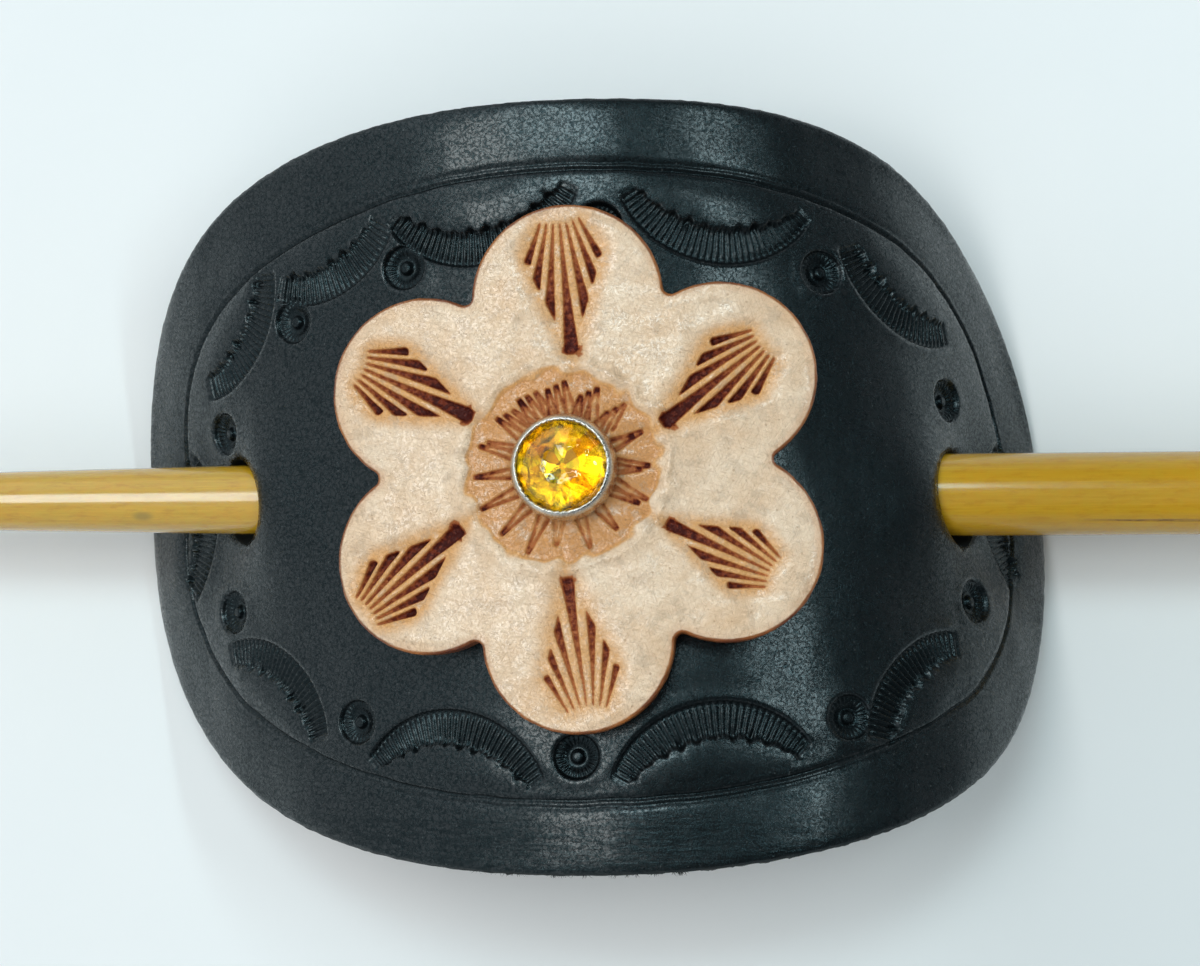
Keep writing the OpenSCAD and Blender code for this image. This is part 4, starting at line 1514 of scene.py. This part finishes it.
# %% [markdown]
# ## Lacquered bamboo
# Bamboo's fibres run dead straight from end to end, so its streaks are noise stretched
# fifty times along the stick. A small eye sits just left of the plate, and a fine check,
# a crack along the grain, runs from just right of it to the end. Over it all lies a
# lacquer, the shader's coat, which is thinner on the right. The wood's own gloss is
# tinted blue, the opposite of its colour, so that the long highlight comes out white and
# not orange.

# %% Fibres, mottle and flaws of the stick
bamboo, tree, shader = new_finish("bamboo", specular_ior_level=0.4,
                                  specular_tint=(0.12, 0.62, 1.0, 1), coat_ior=1.65,
                                  coat_roughness=0.13)
EYE_AT, EYE_HALF = (-45.7, 13.1), (1.15, 0.62)
CHECK_AT, CHECK_FROM, CHECK_DRIFT = 13.8, 45.5, 0.9
place = flat_place(tree)
run, round_it = node(tree, "SeparateXYZ", {0: place}).outputs[:2]
streaks = noise(tree, stretched(tree, place, 0.030, 1.5), 1.0, 4.0, 0.6)
hairs = noise(tree, stretched(tree, place, 0.16, 7.0), 1.0, 3.0, 0.7)
mottle = noise(tree, stretched(tree, place, 0.45, 1.8), 1.0, 4.0, 0.7)
tone = use_group(tree, blotches, {"Place": place, "Size mm": 7.0})

eye_x, eye_y = [calc(tree, "DIVIDE", minus(tree, way, at), half)
                for way, at, half in zip((run, round_it), EYE_AT, EYE_HALF)]
eye_r = calc(tree, "SQRT", plus(tree, times(tree, eye_x, eye_x), times(tree, eye_y, eye_y)))
drift = times(tree, minus(tree, streaks, 0.5), CHECK_DRIFT)
check_off = calc(tree, "ABSOLUTE", minus(tree, minus(tree, round_it, CHECK_AT), drift))
check = times(tree, ramp(tree, check_off, 0.16, 0.04),
              ramp(tree, run, CHECK_FROM, CHECK_FROM + 6))
print("The eye is", EYE_AT[0], "mm from the stick's middle")

# %% Colour and lacquer of the stick
colour = lay_colours(
    tree, (0.560, 0.300, 0.012),
    (ramp(tree, streaks, 0.30, 0.70), (0.650, 0.380, 0.022)),
    (ramp(tree, hairs, 0.62, 0.42, 0.0, 0.34), (0.350, 0.180, 0.010)),
    (times(tree, tone["Broad"], 0.5), (0.630, 0.300, 0.011)),
    (times(tree, tone["Fine"], 0.4), (0.510, 0.355, 0.022)),
    (ramp(tree, mottle, 0.48, 0.70, 0.0, 0.55), (0.430, 0.190, 0.007)),
    # Painted shade: the stick is painted darker towards its right end, standing in for the lesser
    # light there
    (ramp(tree, run, 20.0, 45.0, 0.0, 0.35), (0.330, 0.165, 0.012)),
    (ramp(tree, eye_r, 1.25, 0.3, 0.0, 0.62), (0.230, 0.150, 0.025)),
    (times(tree, check, ramp(tree, mottle, 0.35, 0.60, 0.9, 0.35)), (0.150, 0.065, 0.012)))
lacquer = times(tree, ramp(tree, run, 15.0, 45.0, 1.0, 0.30),
                ramp(tree, hairs, 0.35, 0.55, 0.75, 1.0))
fill(tree, shader, {"Base Color": colour, "Coat Weight": lacquer,
                    "Roughness": ramp(tree, hairs, 0.3, 0.7, 0.17, 0.25)})
fibre_height = plus(tree, times(tree, streaks, 1.0), times(tree, hairs, 0.25))
small_relief(tree, shader, minus(tree, fibre_height, times(tree, check, 1.5)),
             strength=0.5, distance=0.00008)
stick.data.materials.append(bamboo)
print("Bamboo has", len(tree.nodes), "nodes")

# %% [markdown]
# ## Floor, light and camera
# The piece lies on a pale board in a bright room. Most of the light comes from above and
# from the top left, so a soft shadow falls to the lower right. The board is also painted
# darker towards its lower right corner, painted shade that deepens that shadow. The key
# lamp, high on the left, gives the line of light along the stick. Two more show as bands of sheen
# on the
# bent leather, and a fill lamp that no reflection shows softens the shadows. A picture of
# a real room could light it as well, but with a lamp for each highlight it is plain where
# each one comes from. The camera looks almost straight down, from slightly right of and
# below the piece.

# %% Floor
floor_size = 3.0
floor_mesh = bpy.data.meshes.new("floor")
half = floor_size / 2
floor_mesh.from_pydata([(-half, -half, 0), (half, -half, 0), (half, half, 0), (-half, half, 0)],
                       [], [(0, 1, 2, 3)])
floor = bpy.data.objects.new("floor", floor_mesh)
bpy.context.scene.collection.objects.link(floor)
floor.location.z = -0.00002
board, tree, shader = new_finish("pale_board", specular_ior_level=0.2)
place = solid_place(tree)
tone = use_group(tree, blotches, {"Place": place, "Size mm": 40.0})
along_x, along_y = node(tree, "SeparateXYZ", {0: place}).outputs[:2]
# Painted shade: the board is painted darker towards its lower right corner
corner = times(tree, ramp(tree, along_x, 0.0, 55.0), ramp(tree, along_y, 40.0, -20.0))
colour = lay_colours(tree, (0.800, 0.827, 0.836), (tone["Broad"], (0.815, 0.837, 0.844)),
                     (corner, (0.680, 0.715, 0.725)))
fill(tree, shader, {"Base Color": colour,
                    "Roughness": ramp(tree, tone["Fine"], 0.0, 1.0, 0.65, 0.75)})
floor_mesh.materials.append(board)
print("The floor is", floor_size, "m square")

# %% Lights
def soft_light(name, place_mm, aim_mm, size_mm, radiance, colour=(1, 1, 1)):
    """A rectangular softbox. radiance is how bright its face looks."""
    light = bpy.data.lights.new(name, "AREA")
    light.shape = "RECTANGLE"
    light.size, light.size_y = size_mm[0] * MM, size_mm[1] * MM
    light.energy = radiance * math.pi * light.size * light.size_y
    light.color = colour
    lamp = bpy.data.objects.new(name, light)
    bpy.context.scene.collection.objects.link(lamp)
    lamp.location = Vector(place_mm) * MM
    lamp.rotation_euler = (Vector(aim_mm) - Vector(place_mm)).to_track_quat("-Z", "Y").to_euler()
    return lamp


WARM, COOL, TEAL = (1.0, 0.99, 0.96), (0.90, 0.96, 1.0), (0.76, 0.96, 1.0)
soft_light("key", (-247, 47, 600), (-60, 47, 0), (300, 190), 5.8, WARM)
soft_light("window", (-420, 520, 480), (0, 0, 0), (600, 500), 0.45, COOL)
soft_light("ceiling", (-30, 190, 600), (0, 0, 0), (200, 130), 9.8, TEAL)
soft_light("right", (325, 120, 480), (0, 40, 0), (270, 45), 15.5, TEAL)
shadow_lamp = soft_light("fill", (60, -180, 660), (0, 0, 0), (600, 500), 1.25, WARM)
shadow_lamp.visible_glossy = False
world = bpy.data.worlds.new("daylight")
world.use_nodes = True
sky = world.node_tree
to_right, _, to_top = node(sky, "SeparateXYZ", {
    0: node(sky, "TexCoord").outputs["Generated"]}).outputs
walls = times(sky, ramp(sky, to_top, 0.55, 0.25, 0.0, 0.44),
              ramp(sky, to_right, 0.30, 0.80, 1.0, 0.65))
glow = calc(sky, "MAXIMUM", ramp(sky, to_right, 0.02, -0.16, 0.05, 0.70), walls)
fill(sky, sky.nodes["Background"], {0: (0.88, 0.95, 1.0, 1), 1: glow})
bpy.context.scene.world = world
bpy.context.scene.view_settings.view_transform = "Standard"

# %% Camera
SEEN_WIDTH, DISTANCE = 120.0, 290.0
TARGET = Vector((0.0, 1.45, 14.0))
RIGHT_OF, BELOW = math.radians(4.5), math.radians(5.5)
toward = Vector((math.sin(RIGHT_OF), -math.sin(BELOW), 0))
toward.z = math.sqrt(1 - toward.length_squared)
camera_data = bpy.data.cameras.new("camera")
camera_data.sensor_width = 36.0
camera_data.lens = camera_data.sensor_width * DISTANCE / SEEN_WIDTH
camera_data.clip_start = 0.01
camera = bpy.data.objects.new("camera", camera_data)
bpy.context.scene.collection.objects.link(camera)
right = Vector((0, 1, 0)).cross(toward).normalized()
turn = Matrix((right, toward.cross(right), toward)).transposed()
camera.matrix_world = Matrix.Translation((TARGET + DISTANCE * toward) * MM) @ turn.to_4x4()
bpy.context.scene.camera = camera
print("Lens:", round(camera_data.lens, 1), "mm, for a picture", SEEN_WIDTH, "mm wide")
